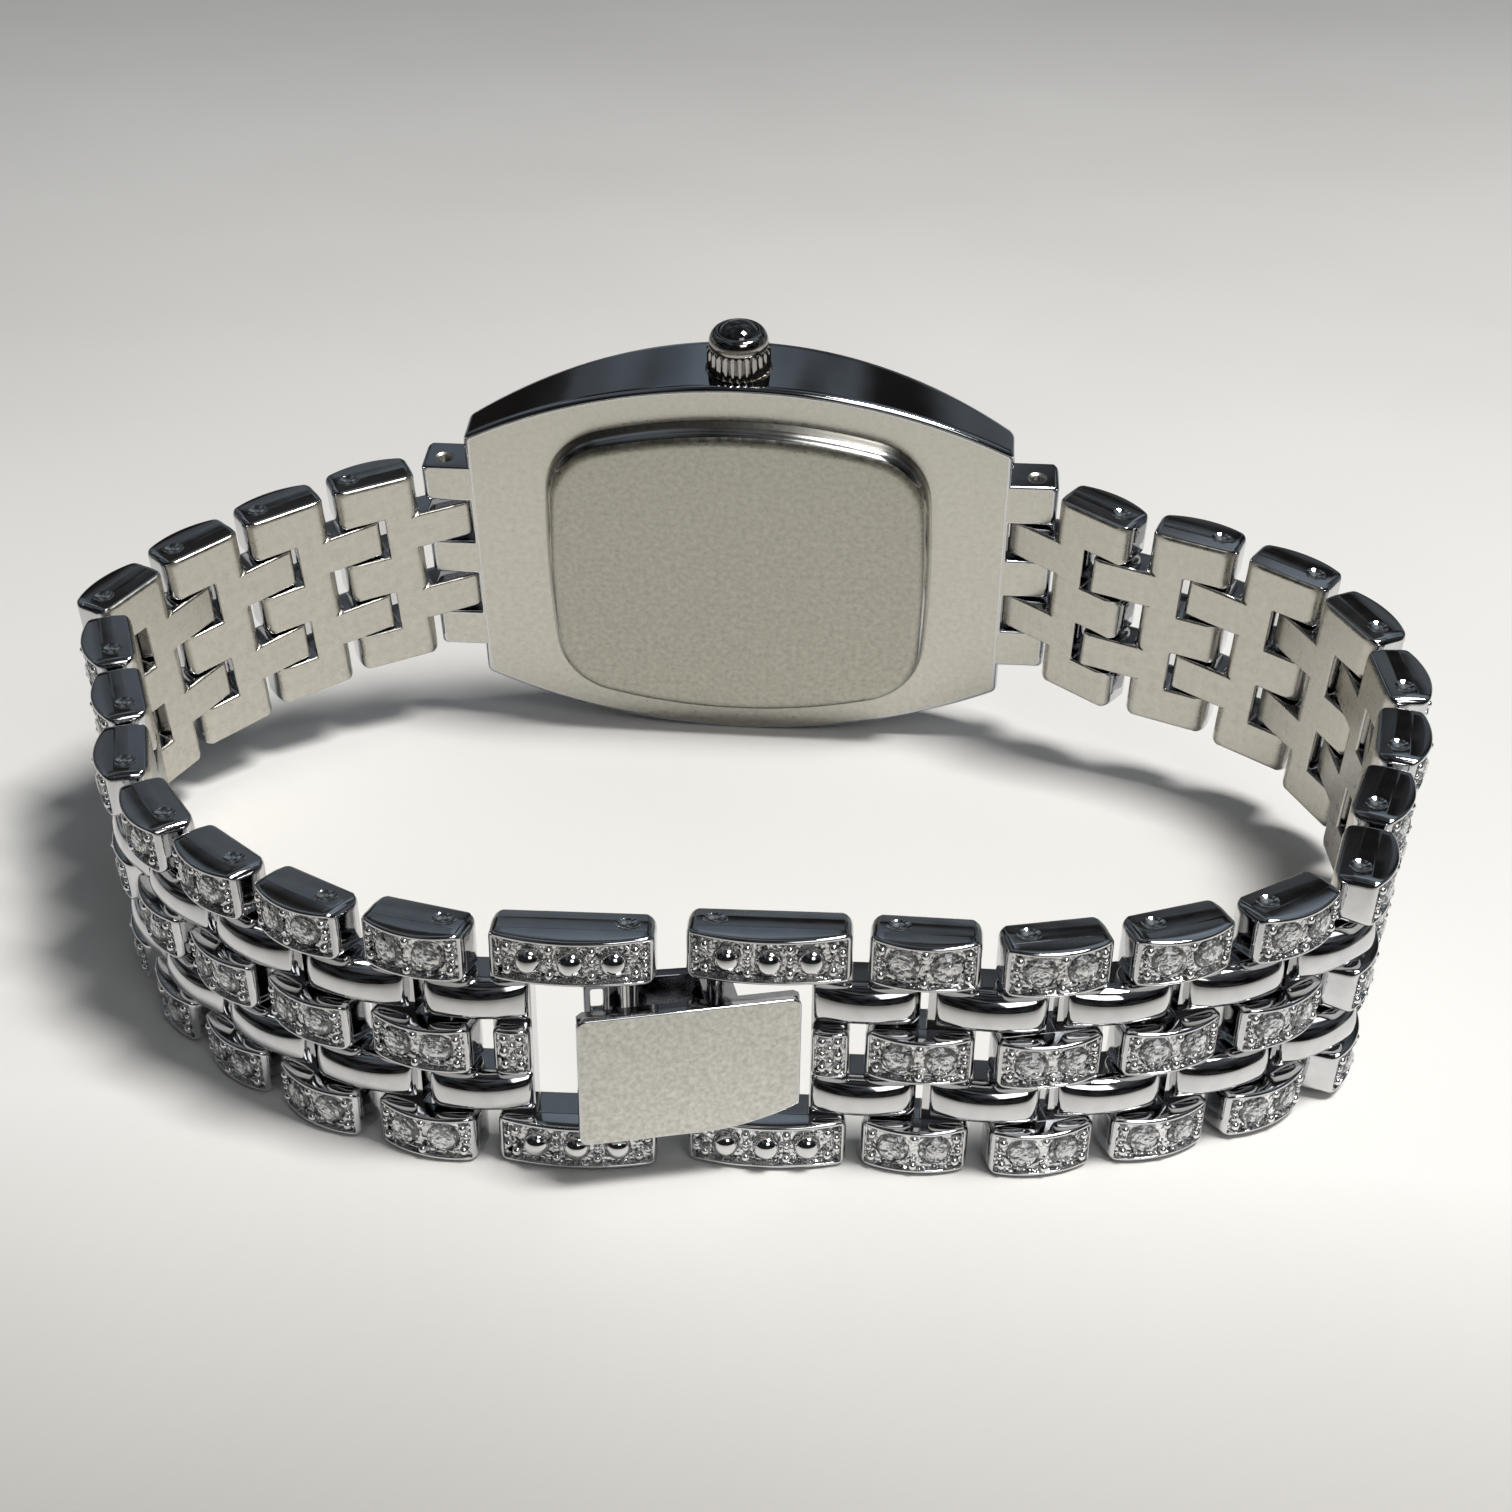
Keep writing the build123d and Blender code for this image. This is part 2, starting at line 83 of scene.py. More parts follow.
LEFT, LEFT_PIN = walk(pos(-LUG_X, LUG_DEPTH, 0) @ rot(0, 0, 180), LEFT_POSE, FRAME_PIN)
RIGHT, RIGHT_PIN = walk(pos(LUG_X, LUG_DEPTH, 0), RIGHT_POSE, FRAME_PIN)
FLIP = rot(180)


def blade_frame():
    pr, pl = RIGHT_PIN.to_translation(), LEFT_PIN.to_translation()
    zr = (RIGHT_PIN.to_3x3() @ Vector((0, 0, 1)))
    zl = (LEFT_PIN.to_3x3() @ Vector((0, 0, 1)))
    z = (zr + zl).normalized()
    gap = pl - pr
    rise = gap.dot(z)
    x = gap - z * rise
    span = x.length
    x.normalize()
    y = z.cross(x)
    m = Matrix((x, y, z)).transposed().to_4x4()
    m.translation = pr
    return m, span, rise / 2


BLADE_AT, SPAN, MID = blade_frame()


def to_metres(m):
    """A placement in millimetres as one in metres."""
    out = m.copy()
    out.translation = m.translation * MM
    return out


# ---------------------------------------------------------------- mesh tools
class Shell:
    """Collects points (millimetres), faces and a material number for each face."""

    def __init__(self):
        self.v, self.f, self.m = [], [], []

    def add(self, verts, faces, mat=0):
        base = len(self.v)
        self.v += [tuple(map(float, p)) for p in verts]
        self.f += [tuple(base + i for i in f) for f in faces]
        self.m += [mat] * len(faces)
        return base

    def join(self, other, m=None, mat=None):
        base = len(self.v)
        self.v += [tuple(m @ Vector(p)) if m is not None else p for p in other.v]
        turned = m is not None and m.determinant() < 0
        self.f += [tuple(base + i for i in (reversed(f) if turned else f)) for f in other.f]
        self.m += [mat if mat is not None else k for k in other.m]
        return self

    def mesh(self, name, mats, sharp=38.0, weld=0.0008):
        me = bpy.data.meshes.new(name)
        me.from_pydata([(x * MM, y * MM, z * MM) for x, y, z in self.v], [], self.f)
        for k in mats:
            me.materials.append(k)
        me.polygons.foreach_set("material_index", self.m)
        me.update()
        import bmesh
        bm = bmesh.new()
        bm.from_mesh(me)
        if weld:
            bmesh.ops.remove_doubles(bm, verts=bm.verts, dist=weld * MM)
        bmesh.ops.recalc_face_normals(bm, faces=bm.faces)
        bm.to_mesh(me)
        bm.free()
        me.polygons.foreach_set("use_smooth", [sharp > 0] * len(me.polygons))
        if sharp > 0:
            me.set_sharp_from_angle(angle=math.radians(sharp))
        me.validate()
        me.update()
        return me


def finish(me):
    """Lets the large faces set the shading, so that flat faces stay flat beside their rounded edges."""
    o = bpy.data.objects.new("tmp_finish", me)
    bpy.context.scene.collection.objects.link(o)
    w = o.modifiers.new("weighted", "WEIGHTED_NORMAL")
    w.mode = "FACE_AREA"
    w.weight = 70
    w.keep_sharp = True
    dg = bpy.context.evaluated_depsgraph_get()
    out = bpy.data.meshes.new_from_object(o.evaluated_get(dg), preserve_all_data_layers=True, depsgraph=dg)
    out.name = me.name + "_done"
    bpy.data.objects.remove(o)
    return out


def bulge(y):
    """How far the edge faces of links and frames fall back above and below their middle."""
    return 0.05 * ((y - 0.1) / 1.1) ** 2


def outline(corners, radii, seg=5):
    """Corner points of a polygon, each edge with its own offset, rounded. Returns the same number of points for any offset.
    corners: [(x, z)], counter-clockwise. Gives a function of the inward offset of each edge."""
    n = len(corners)
    c = np.array(corners, float)

    def at(offsets):
        d = np.roll(c, -1, 0) - c
        ln = np.linalg.norm(d, axis=1)[:, None]
        d = d / ln
        nrm = np.stack([-d[:, 1], d[:, 0]], 1)          # inward, for a counter-clockwise outline
        p0 = c + nrm * np.array(offsets)[:, None]
        pts, who = [], []
        sharp = []
        for i in range(n):
            a, b = i - 1, i
            # crossing of edge a and edge b
            m = np.array([d[a], -d[b]]).T
            t = np.linalg.solve(m, p0[b] - p0[a])
            sharp.append(p0[a] + d[a] * t[0])
        for i in range(n):
            r = radii[i]
            p = sharp[i]
            if r <= 0:
                for k in range(seg + 1):
                    pts.append(p)
                    who.append((i - 1, i, k / seg))
                continue
            turn = math.acos(max(-1, min(1, float(d[i - 1] @ d[i]))))
            t = r * math.tan(turn / 2)
            a0, a1 = p - d[i - 1] * t, p + d[i] * t
            cross = d[i - 1][0] * d[i][1] - d[i - 1][1] * d[i][0]
            side = 1.0 if cross > 0 else -1.0
            centre = a0 + nrm[i - 1] * r * side
            s = math.atan2(*(a0 - centre)[::-1])
            for k in range(seg + 1):
                w = s + side * turn * k / seg
                pts.append(centre + r * np.array([math.cos(w), math.sin(w)]))
                who.append((i - 1, i, k / seg))
        return np.array(pts), who

    return at


def skin(shell, loops, mat=0, cap_first=None, cap_last=None):
    """Joins closed loops of the same length. Caps are material numbers or None."""
    n = len(loops[0])
    base = shell.add([p for lp in loops for p in lp], [])
    for j in range(len(loops) - 1):
        k = mat[j] if isinstance(mat, (list, tuple)) else mat
        for i in range(n):
            a = base + j * n + i
            b = base + j * n + (i + 1) % n
            shell.f.append((a, b, b + n, a + n))
            shell.m.append(k)
    if cap_first is not None:
        shell.f.append(tuple(reversed(range(base, base + n))))
        shell.m.append(cap_first)
    if cap_last is not None:
        e = base + (len(loops) - 1) * n
        shell.f.append(tuple(range(e, e + n)))
        shell.m.append(cap_last)
    return shell


def plate(corners, radii, y0, y1, soft0, soft1=None, seg=5, steps=4, flat_mat=1, side_mat=0, top_mat=0, outer=None, over=0.0):
    """A flat piece in x, z with its thickness along y: rounded corners, and an edge radius for each edge at y0 and at y1."""
    at = outline(corners, radii, seg)
    loops = []

    def level(y, soft, theta, direction):
        off = [s * (1 - math.sin(theta)) for s in soft]
        if outer:
            off = [q + (bulge(y) if o else 0) for q, o in zip(off, outer)]
        pts, who = at(off)
        out = []
        for (x, z), (a, b, t) in zip(pts, who):
            s = soft[a] * (1 - t) + soft[b] * t
            out.append((x, y + direction * s * (1 - math.cos(theta)), z))
        return out

    for k in range(steps + 1):
        loops.append(level(y0, soft0, math.pi / 2 * k / steps, 1))
    if soft1 is None:
        for y in (np.linspace(y0 + max(soft0) + 0.03, y1, 6) if outer else [y1]):
            pts, _ = at([bulge(y) if outer and o else 0 for o in (outer or [0] * len(corners))])
            loops.append([(x, float(y), z) for x, z in pts])
    else:
        for k in range(steps, -1, -1):
            loops.append(level(y1, soft1, math.pi / 2 * k / steps, -1))
    s = Shell()
    mats = [flat_mat if k < steps * over else side_mat for k in range(len(loops) - 1)]
    skin(s, loops, mats, cap_first=flat_mat, cap_last=top_mat)
    return s


def revolve(profile, n=48, mat=0, axis="Y"):
    """profile: [(radius, height)]; closed on the axis at both ends if its radius is 0."""
    s = Shell()
    rows = []
    for r, h in profile:
        if r < 1e-6:
            rows.append([s.add([(0, h, 0)], [])])
        else:
            base = s.add([(r * math.cos(2 * math.pi * i / n), h, r * math.sin(2 * math.pi * i / n)) for i in range(n)], [])
            rows.append([base + i for i in range(n)])
    for a, b in zip(rows, rows[1:]):
        for i in range(n):
            j = (i + 1) % n
            if len(a) == 1 and len(b) == 1:
                continue
            if len(a) == 1:
                f = (a[0], b[j], b[i])
            elif len(b) == 1:
                f = (a[i], a[j], b[0])
            else:
                f = (a[i], a[j], b[j], b[i])
            s.f.append(f)
            s.m.append(mat)
    if axis == "Z":
        s.v = [(x, -z, y) for x, y, z in s.v]
    elif axis == "X":
        s.v = [(y, -x, z) for x, y, z in s.v]
    return s


def placed(shell, m, mat=None):
    return Shell().join(shell, m, mat)


def arc_height(x, x0, x1, shoulder, crest):
    """Height of the circular arch through both shoulders and the crest."""
    h = (x1 - x0) / 2
    s = crest - shoulder
    r = (h * h + s * s) / (2 * s)
    u = x - (x0 + x1) / 2
    return math.sqrt(max(r * r - u * u, 0)) - (r - crest)


# ---------------------------------------------------------------- materials
def new_mat(name):
    m = bpy.data.materials.new(name)
    m.use_nodes = True
    nt = m.node_tree
    b = nt.nodes["Principled BSDF"]
    return m, nt, b


def node(nt, kind, **values):
    n = nt.nodes.new(kind)
    for k, v in values.items():
        if k in n.inputs:
            n.inputs[k].default_value = v
        else:
            setattr(n, k, v)
    return n


def coords(nt, scale=(1, 1, 1), turn=(0, 0, 0)):
    tc = nt.nodes.new("ShaderNodeTexCoord")
    mp = nt.nodes.new("ShaderNodeMapping")
    mp.inputs["Scale"].default_value = scale
    mp.inputs["Rotation"].default_value = turn
    nt.links.new(tc.outputs["Object"], mp.inputs["Vector"])
    return mp.outputs["Vector"]


def ramp(nt, fac, stops):
    r = nt.nodes.new("ShaderNodeValToRGB")
    e = r.color_ramp.elements
    e[0].position, e[0].color = stops[0]
    e[1].position, e[1].color = stops[-1]
    for p, c in stops[1:-1]:
        x = e.new(p)
        x.color = c
    nt.links.new(fac, r.inputs["Fac"])
    return r.outputs["Color"]


def to_range(nt, value, lo, hi, a=0.0, b=1.0):
    n = node(nt, "ShaderNodeMapRange")
    n.inputs["From Min"].default_value = a
    n.inputs["From Max"].default_value = b
    n.inputs["To Min"].default_value = lo
    n.inputs["To Max"].default_value = hi
    nt.links.new(value, n.inputs["Value"])
    return n.outputs["Result"]


def bump(nt, height, strength, distance, after=None):
    n = node(nt, "ShaderNodeBump", Strength=strength, Distance=distance)
    nt.links.new(height, n.inputs["Height"])
    if after is not None:
        nt.links.new(after, n.inputs["Normal"])
    return n.outputs["Normal"]


def scratches(nt, scale, stretch, turn, low=0.62, high=0.70):
    """Thin streaks, 0 to 1."""
    v = coords(nt, stretch, turn)
    n = node(nt, "ShaderNodeTexNoise", Scale=scale, Detail=3.0, Roughness=0.6)
    nt.links.new(v, n.inputs["Vector"])
    return to_range(nt, n.outputs["Fac"], 0, 1, low, high)


def metal(name, color, color2, rough, rough2, cloud=900.0, grain=6000.0, grain_bump=0.0, wave=0.0, streaks=(), streak_bump=0.06, streak_rough=0.08):
    """Steel: cloudy tint, fine grain, slow waviness of a hand polish, and streaks of wear."""
    m, nt, b = new_mat(name)
    b.inputs["Metallic"].default_value = 1.0
    v = coords(nt)
    n1 = node(nt, "ShaderNodeTexNoise", Scale=cloud, Detail=4.0, Roughness=0.55)
    nt.links.new(v, n1.inputs["Vector"])
    c = ramp(nt, n1.outputs["Fac"], [(0.30, (*color, 1)), (0.72, (*color2, 1))])
    nt.links.new(c, b.inputs["Base Color"])
    n2 = node(nt, "ShaderNodeTexNoise", Scale=grain, Detail=2.0, Roughness=0.5)
    nt.links.new(v, n2.inputs["Vector"])
    r = to_range(nt, n1.outputs["Fac"], rough, rough2, 0.3, 0.7)
    nrm = None
    if wave:
        n3 = node(nt, "ShaderNodeTexNoise", Scale=420.0, Detail=1.0, Roughness=0.4)
        nt.links.new(v, n3.inputs["Vector"])
        nrm = bump(nt, n3.outputs["Fac"], wave, 0.0002, nrm)
    if grain_bump:
        nrm = bump(nt, n2.outputs["Fac"], grain_bump, 0.00002, nrm)
    for scale, stretch, turn, low, high in streaks:
        s = scratches(nt, scale, stretch, turn, low, high)
        nrm = bump(nt, s, streak_bump, 0.00003, nrm)
        add = node(nt, "ShaderNodeMath", operation="MULTIPLY_ADD")
        nt.links.new(s, add.inputs[0])
        add.inputs[1].default_value = streak_rough
        nt.links.new(r, add.inputs[2])
        r = add.outputs[0]
    nt.links.new(r, b.inputs["Roughness"])
    if nrm is not None:
        nt.links.new(nrm, b.inputs["Normal"])
    return m


POLISHED = metal("polished_steel", (0.56, 0.565, 0.58), (0.66, 0.66, 0.665), 0.045, 0.10, grain_bump=0.02, wave=0.05,
                 streaks=[(900.0, (1, 6, 1), (0.3, 0.5, 0.2), 0.66, 0.74)], streak_bump=0.02, streak_rough=0.05)
CASE_POLISHED = metal("case_polished_steel", (0.50, 0.515, 0.54), (0.60, 0.61, 0.63), 0.04, 0.09, cloud=220.0, grain_bump=0.015, wave=0.03,
                      streaks=[(700.0, (1, 8, 1), (0.1, 0.2, 0.9), 0.68, 0.76)], streak_bump=0.02, streak_rough=0.05)
SATIN = metal("satin_steel_inside", (0.455, 0.435, 0.385), (0.56, 0.54, 0.49), 0.24, 0.36, cloud=1800.0, grain=5200.0, grain_bump=0.25,
              streaks=[(1500.0, (1, 1, 7), (0.0, 0.15, 0.0), 0.60, 0.72), (1300.0, (6, 1, 1), (0.0, -0.4, 0.3), 0.66, 0.74)], streak_bump=0.05)
CASE_SATIN = metal("satin_steel_case", (0.475, 0.46, 0.41), (0.58, 0.565, 0.51), 0.26, 0.37, cloud=2600.0, grain=4600.0, grain_bump=0.45,
                   streaks=[(900.0, (1, 7, 1), (0.2, 0.1, 0.5), 0.63, 0.73), (1100.0, (8, 1, 1), (0.1, 0.3, -0.3), 0.66, 0.75)], streak_bump=0.06)
BACK_SATIN = metal("satin_steel_back", (0.320, 0.310, 0.265), (0.440, 0.430, 0.375), 0.26, 0.38, cloud=3000.0, grain=5200.0, grain_bump=0.8,
                   streaks=[(700.0, (1, 9, 1), (0.0, 0.0, 0.12), 0.66, 0.74), (900.0, (7, 1, 1), (0.0, 0.0, 0.7), 0.65, 0.74), (520.0, (2, 9, 1), (0.0, 0.0, -0.6), 0.68, 0.75)],
                   streak_bump=0.10, streak_rough=0.05)
COVER_SATIN = metal("satin_steel_cover", (0.48, 0.47, 0.43), (0.75, 0.74, 0.70), 0.28, 0.44, cloud=4200.0, grain=6200.0, grain_bump=0.6,
                    streaks=[(900.0, (6, 1, 1), (0.0, 0.35, 0.2), 0.62, 0.70), (800.0, (1, 1, 7), (0.0, -0.5, 0.0), 0.64, 0.72), (1200.0, (5, 1, 1), (0.0, -0.9, 0.0), 0.66, 0.72)],
                    streak_bump=0.12, streak_rough=0.06)
BLADE_STEEL = metal("polished_blade_steel", (0.30, 0.305, 0.32), (0.42, 0.42, 0.44), 0.06, 0.14, grain_bump=0.02, wave=0.04)
PIN_STEEL = metal("pin_steel", (0.60, 0.60, 0.60), (0.70, 0.69, 0.68), 0.10, 0.18, grain_bump=0.05)
BEAD_STEEL = metal("bead_steel", (0.62, 0.62, 0.63), (0.72, 0.72, 0.72), 0.03, 0.07)
GRAIN_STEEL = metal("grain_steel", (0.72, 0.72, 0.73), (0.82, 0.82, 0.82), 0.14, 0.22)
def pave_mat():
    """Bright metal cut into fine round grains, for the channel floors between the stones."""
    m, nt, b = new_mat("grained_steel")
    b.inputs["Metallic"].default_value = 1.0
    v = coords(nt)
    n1 = node(nt, "ShaderNodeTexNoise", Scale=2600.0, Detail=3.0, Roughness=0.6)
    nt.links.new(v, n1.inputs["Vector"])
    nt.links.new(ramp(nt, n1.outputs["Fac"], [(0.34, (0.52, 0.52, 0.53, 1)), (0.64, (0.86, 0.86, 0.86, 1))]), b.inputs["Base Color"])
    nt.links.new(to_range(nt, n1.outputs["Fac"], 0.08, 0.20, 0.3, 0.7), b.inputs["Roughness"])
    vo = node(nt, "ShaderNodeTexVoronoi", Scale=3300.0, Randomness=0.85)
    nt.links.new(v, vo.inputs["Vector"])
    inv = to_range(nt, vo.outputs["Distance"], 1.0, 0.0, 0.0, 0.75)
    nt.links.new(bump(nt, inv, 0.9, 0.00009), b.inputs["Normal"])
    return m


PAVE = pave_mat()
# painted shade: the crown's steel is a darker copy of the polished steel, so its flutes show less of the bright floor's
# reflection
CROWN_STEEL_PAINTED_DARK = metal("crown_steel_painted_dark", (0.30, 0.285, 0.27), (0.40, 0.385, 0.37), 0.06, 0.12, cloud=1800.0, grain_bump=0.03)
HAND_STEEL = metal("hand_steel", (0.50, 0.51, 0.53), (0.60, 0.60, 0.62), 0.08, 0.14, grain_bump=0.03)
BRASS = metal("plated_brass", (0.75, 0.58, 0.27), (0.82, 0.66, 0.34), 0.22, 0.34, grain_bump=0.10)
NICKEL = metal("nickel_can", (0.62, 0.61, 0.59), (0.72, 0.71, 0.69), 0.20, 0.30, grain_bump=0.08,
               streaks=[(900.0, (8, 1, 1), (0.0, 0.0, 0.2), 0.62, 0.72)])


def plain(name, color, color2, rough, rough2=None, cloud=700.0, grain=3000.0, strength=0.08, coat=0.0, ior=1.5):
    m, nt, b = new_mat(name)
    v = coords(nt)
    n1 = node(nt, "ShaderNodeTexNoise", Scale=cloud, Detail=4.0, Roughness=0.6)
    nt.links.new(v, n1.inputs["Vector"])
    c = ramp(nt, n1.outputs["Fac"], [(0.3, (*color, 1)), (0.7, (*color2, 1))])
    nt.links.new(c, b.inputs["Base Color"])
    nt.links.new(to_range(nt, n1.outputs["Fac"], rough, rough2 or rough, 0.3, 0.7), b.inputs["Roughness"])
    n2 = node(nt, "ShaderNodeTexNoise", Scale=grain, Detail=2.0)
    nt.links.new(v, n2.inputs["Vector"])
    nt.links.new(bump(nt, n2.outputs["Fac"], strength, 0.00003), b.inputs["Normal"])
    b.inputs["Coat Weight"].default_value = coat
    b.inputs["Coat Roughness"].default_value = 0.03
    b.inputs["IOR"].default_value = ior
    return m


RUBBER = plain("black_rubber", (0.012, 0.012, 0.012), (0.022, 0.022, 0.022), 0.55, 0.7)
NYLON = plain("ivory_nylon", (0.76, 0.74, 0.68), (0.84, 0.82, 0.77), 0.42, 0.55)
CIRCUIT = plain("circuit_green", (0.02, 0.10, 0.06), (0.035, 0.16, 0.09), 0.35, 0.5, cloud=1500.0)
ONYX = plain("black_cabochon", (0.004, 0.004, 0.005), (0.010, 0.010, 0.012), 0.03, 0.06, cloud=500.0, strength=0.01, coat=1.0, ior=1.6)
DIAL = plain("dial_lacquer", (0.80, 0.785, 0.74), (0.87, 0.855, 0.815), 0.20, 0.30, cloud=300.0, grain=6000.0, strength=0.05, coat=0.3)


def stone_mat():
    m, nt, b = new_mat("clear_stone")
    v = coords(nt)
    n1 = node(nt, "ShaderNodeTexNoise", Scale=700.0, Detail=2.0)
    nt.links.new(v, n1.inputs["Vector"])
    c = ramp(nt, n1.outputs["Fac"], [(0.35, (0.90, 0.93, 0.97, 1)), (0.65, (1.0, 1.0, 1.0, 1))])
    nt.links.new(c, b.inputs["Base Color"])
    nt.links.new(to_range(nt, n1.outputs["Fac"], 0.0, 0.02, 0.3, 0.7), b.inputs["Roughness"])
    b.inputs["Transmission Weight"].default_value = 1.0
    b.inputs["IOR"].default_value = 1.75
    return m


def crystal_mat():
    m, nt, b = new_mat("mineral_crystal")
    v = coords(nt)
    n1 = node(nt, "ShaderNodeTexNoise", Scale=200.0, Detail=3.0)
    nt.links.new(v, n1.inputs["Vector"])
    nt.links.new(to_range(nt, n1.outputs["Fac"], 0.0, 0.03, 0.45, 0.75), b.inputs["Roughness"])
    c = ramp(nt, n1.outputs["Fac"], [(0.3, (0.95, 0.98, 0.97, 1)), (0.7, (1, 1, 1, 1))])
    nt.links.new(c, b.inputs["Base Color"])
    b.inputs["Transmission Weight"].default_value = 1.0
    b.inputs["IOR"].default_value = 1.5
    return m


STONE = stone_mat()
FOIL = metal("stone_foil", (0.88, 0.89, 0.91), (0.94, 0.94, 0.95), 0.02, 0.05)
CRYSTAL = crystal_mat()


def show(name, mesh, m, body, *nodes, slot=None):
    o = bpy.data.objects.new(name, mesh)
    bpy.context.scene.collection.objects.link(o)
    o.matrix_world = to_metres(m)
    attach(o, body)
    if nodes:
        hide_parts(*nodes)
    return o


def arc_pts(p0, pm, p1, n):
    """Points on the circle through three points, first included and last left out."""
    (ax, ay), (bx, by), (cx, cy) = p0, pm, p1
    d = 2 * (ax * (by - cy) + bx * (cy - ay) + cx * (ay - by))
    if abs(d) < 1e-9:
        return [(ax + (cx - ax) * i / n, ay + (cy - ay) * i / n) for i in range(n)]
    ux = ((ax * ax + ay * ay) * (by - cy) + (bx * bx + by * by) * (cy - ay) + (cx * cx + cy * cy) * (ay - by)) / d
    uy = ((ax * ax + ay * ay) * (cx - bx) + (bx * bx + by * by) * (ax - cx) + (cx * cx + cy * cy) * (bx - ax)) / d
    r = math.hypot(ax - ux, ay - uy)
    a0 = math.atan2(ay - uy, ax - ux)
    am = math.atan2(by - uy, bx - ux)
    a1 = math.atan2(cy - uy, cx - ux)

    def ahead(a, b):
        return (b - a) % (2 * math.pi)

    if ahead(a0, am) <= ahead(a0, a1):
        sweep = ahead(a0, a1)
    else:
        sweep = -ahead(a1, a0)
    return [(ux + r * math.cos(a0 + sweep * i / n), uy + r * math.sin(a0 + sweep * i / n)) for i in range(n)]


# ---------------------------------------------------------------- link
TIP = -1.12            # round end of a finger
SLOT = 4.32            # bottom of a slot
FH = ROW / 2 - 0.15    # half width of a finger


def comb(x_near, x_ends, x_slot, window=None):
    """Plan of a link: two fingers at the near side, blocks at the far side. x_ends is the far end of rows 1 and 5, window where row 3 stops in a clasp frame."""
    h, w = ROW / 2, WIDTH / 2
    e = x_ends
    if window is None:
        far = [(e, -w, "E"), (e, -3 * h, "S"), (x_slot, -3 * h, "B"), (x_slot, -h, "S"), (e, -h, "E"), (e, h, "S"),
               (x_slot, h, "B"), (x_slot, 3 * h, "S"), (e, 3 * h, "E"), (e, w, "S")]
    else:
        far = [(e, -w, "E"), (e, -3 * h, "S"), (window, -3 * h, "B"), (window, 3 * h, "S"), (e, 3 * h, "E"), (e, w, "S")]
    near = [(x_near, w, "E"), (x_near, ROW + FH, "S"), (TIP, ROW + FH, "T"), (TIP, ROW - FH, "S"), (x_near, ROW - FH, "E"),
            (x_near, -ROW + FH, "S"), (TIP, -ROW + FH, "T"), (TIP, -ROW - FH, "S"), (x_near, -ROW - FH, "E"), (x_near, -w, "S")]
    pts = far + near
    corners = [(x, z) for x, z, _ in pts]
    kinds = [k for _, _, k in pts]
    return corners, kinds


SOFT = {"E": 0.86, "S": 0.17, "B": 0.14, "T": 0.40}


def corner_radii(corners, big):
    """Block corners are rounder than slot corners."""
    n = len(corners)
    out = []
    for i in range(n):
        a, b, c = np.array(corners[i - 1]), np.array(corners[i]), np.array(corners[(i + 1) % n])
        cross = (b - a)[0] * (c - b)[1] - (b - a)[1] * (c - b)[0]
        if cross < 0:
            out.append(0.10)
        elif abs(corners[i][0] - TIP) < 1e-6:
            out.append(0.16)
        else:
            out.append(big)
    return out


def base_plate(x_ends, window=None):
    corners, kinds = comb(B0, x_ends, SLOT, window)
    n, w = len(corners), WIDTH / 2
    outer = [abs(abs(corners[i][1]) - w) < 1e-6 and abs(abs(corners[(i + 1) % n][1]) - w) < 1e-6 for i in range(n)]
    soft = [0.30 if o else SOFT[k] for k, o in zip(kinds, outer)]
    return plate(corners, corner_radii(corners, 0.44), -INNER, 0.62, soft, seg=6, steps=8, flat_mat=1, side_mat=0, top_mat=0, outer=outer, over=0.6)


def boolean_cut(me, cutters):
    """Takes cutter shells (millimetres) out of a mesh."""
    o = bpy.data.objects.new("tmp_cut", me)
    bpy.context.scene.collection.objects.link(o)
    made = []
    for i, s in enumerate(cutters):
        c = bpy.data.objects.new("tmp_cutter_%d" % i, s.mesh("cutter", [me.materials[0]], sharp=30))
        bpy.context.scene.collection.objects.link(c)
        c.hide_render = True
        md = o.modifiers.new("cut", "BOOLEAN")
        md.operation, md.solver, md.object = "DIFFERENCE", "EXACT", c
        made.append(c)
    dg = bpy.context.evaluated_depsgraph_get()
    out = bpy.data.meshes.new_from_object(o.evaluated_get(dg), depsgraph=dg)
    out.name = me.name + "_cut"
    for c in made + [o]:
        bpy.data.objects.remove(c)
    out.polygons.foreach_set("use_smooth", [True] * len(out.polygons))
    out.set_sharp_from_angle(angle=math.radians(23))
    return out


DIMPLE = 0.19


def pin_shape(x, r, end):
    """Pin whose ends carry on the dimples' hollow."""
    half = []
    for k in range(0, 7):
        q = r * k / 6
        half.append((q, end - DIMPLE * (1 - (q / 0.58) ** 2) - 0.004))
    prof = [(q, -h) for q, h in half] + [(q, h) for q, h in reversed(half)]
    s = Shell()
    s.join(revolve(prof, n=28, axis="Z"), pos(x, 0, 0))
    return s


def pin_sink(x, top):
    """Cutter for a pin hole in a shallow round dimple, from outside the side face down past the pin's end. top is +1 or -1."""
    prof = [(0.0, 0.60), (0.415, 0.60), (0.415, DIMPLE * (1 - (0.415 / 0.58) ** 2))] + [(r, DIMPLE * (1 - (r / 0.58) ** 2)) for r in (0.46, 0.50, 0.54, 0.58, 0.62, 0.66)] + [(0.66, -0.5), (0.0, -0.5)]
    s = revolve([(r, (WIDTH / 2 - h)) for r, h in prof], n=28, axis="Z")
    return placed(s, pos(x, 0, 0) @ (rot(180) if top < 0 else Matrix.Identity(4)))


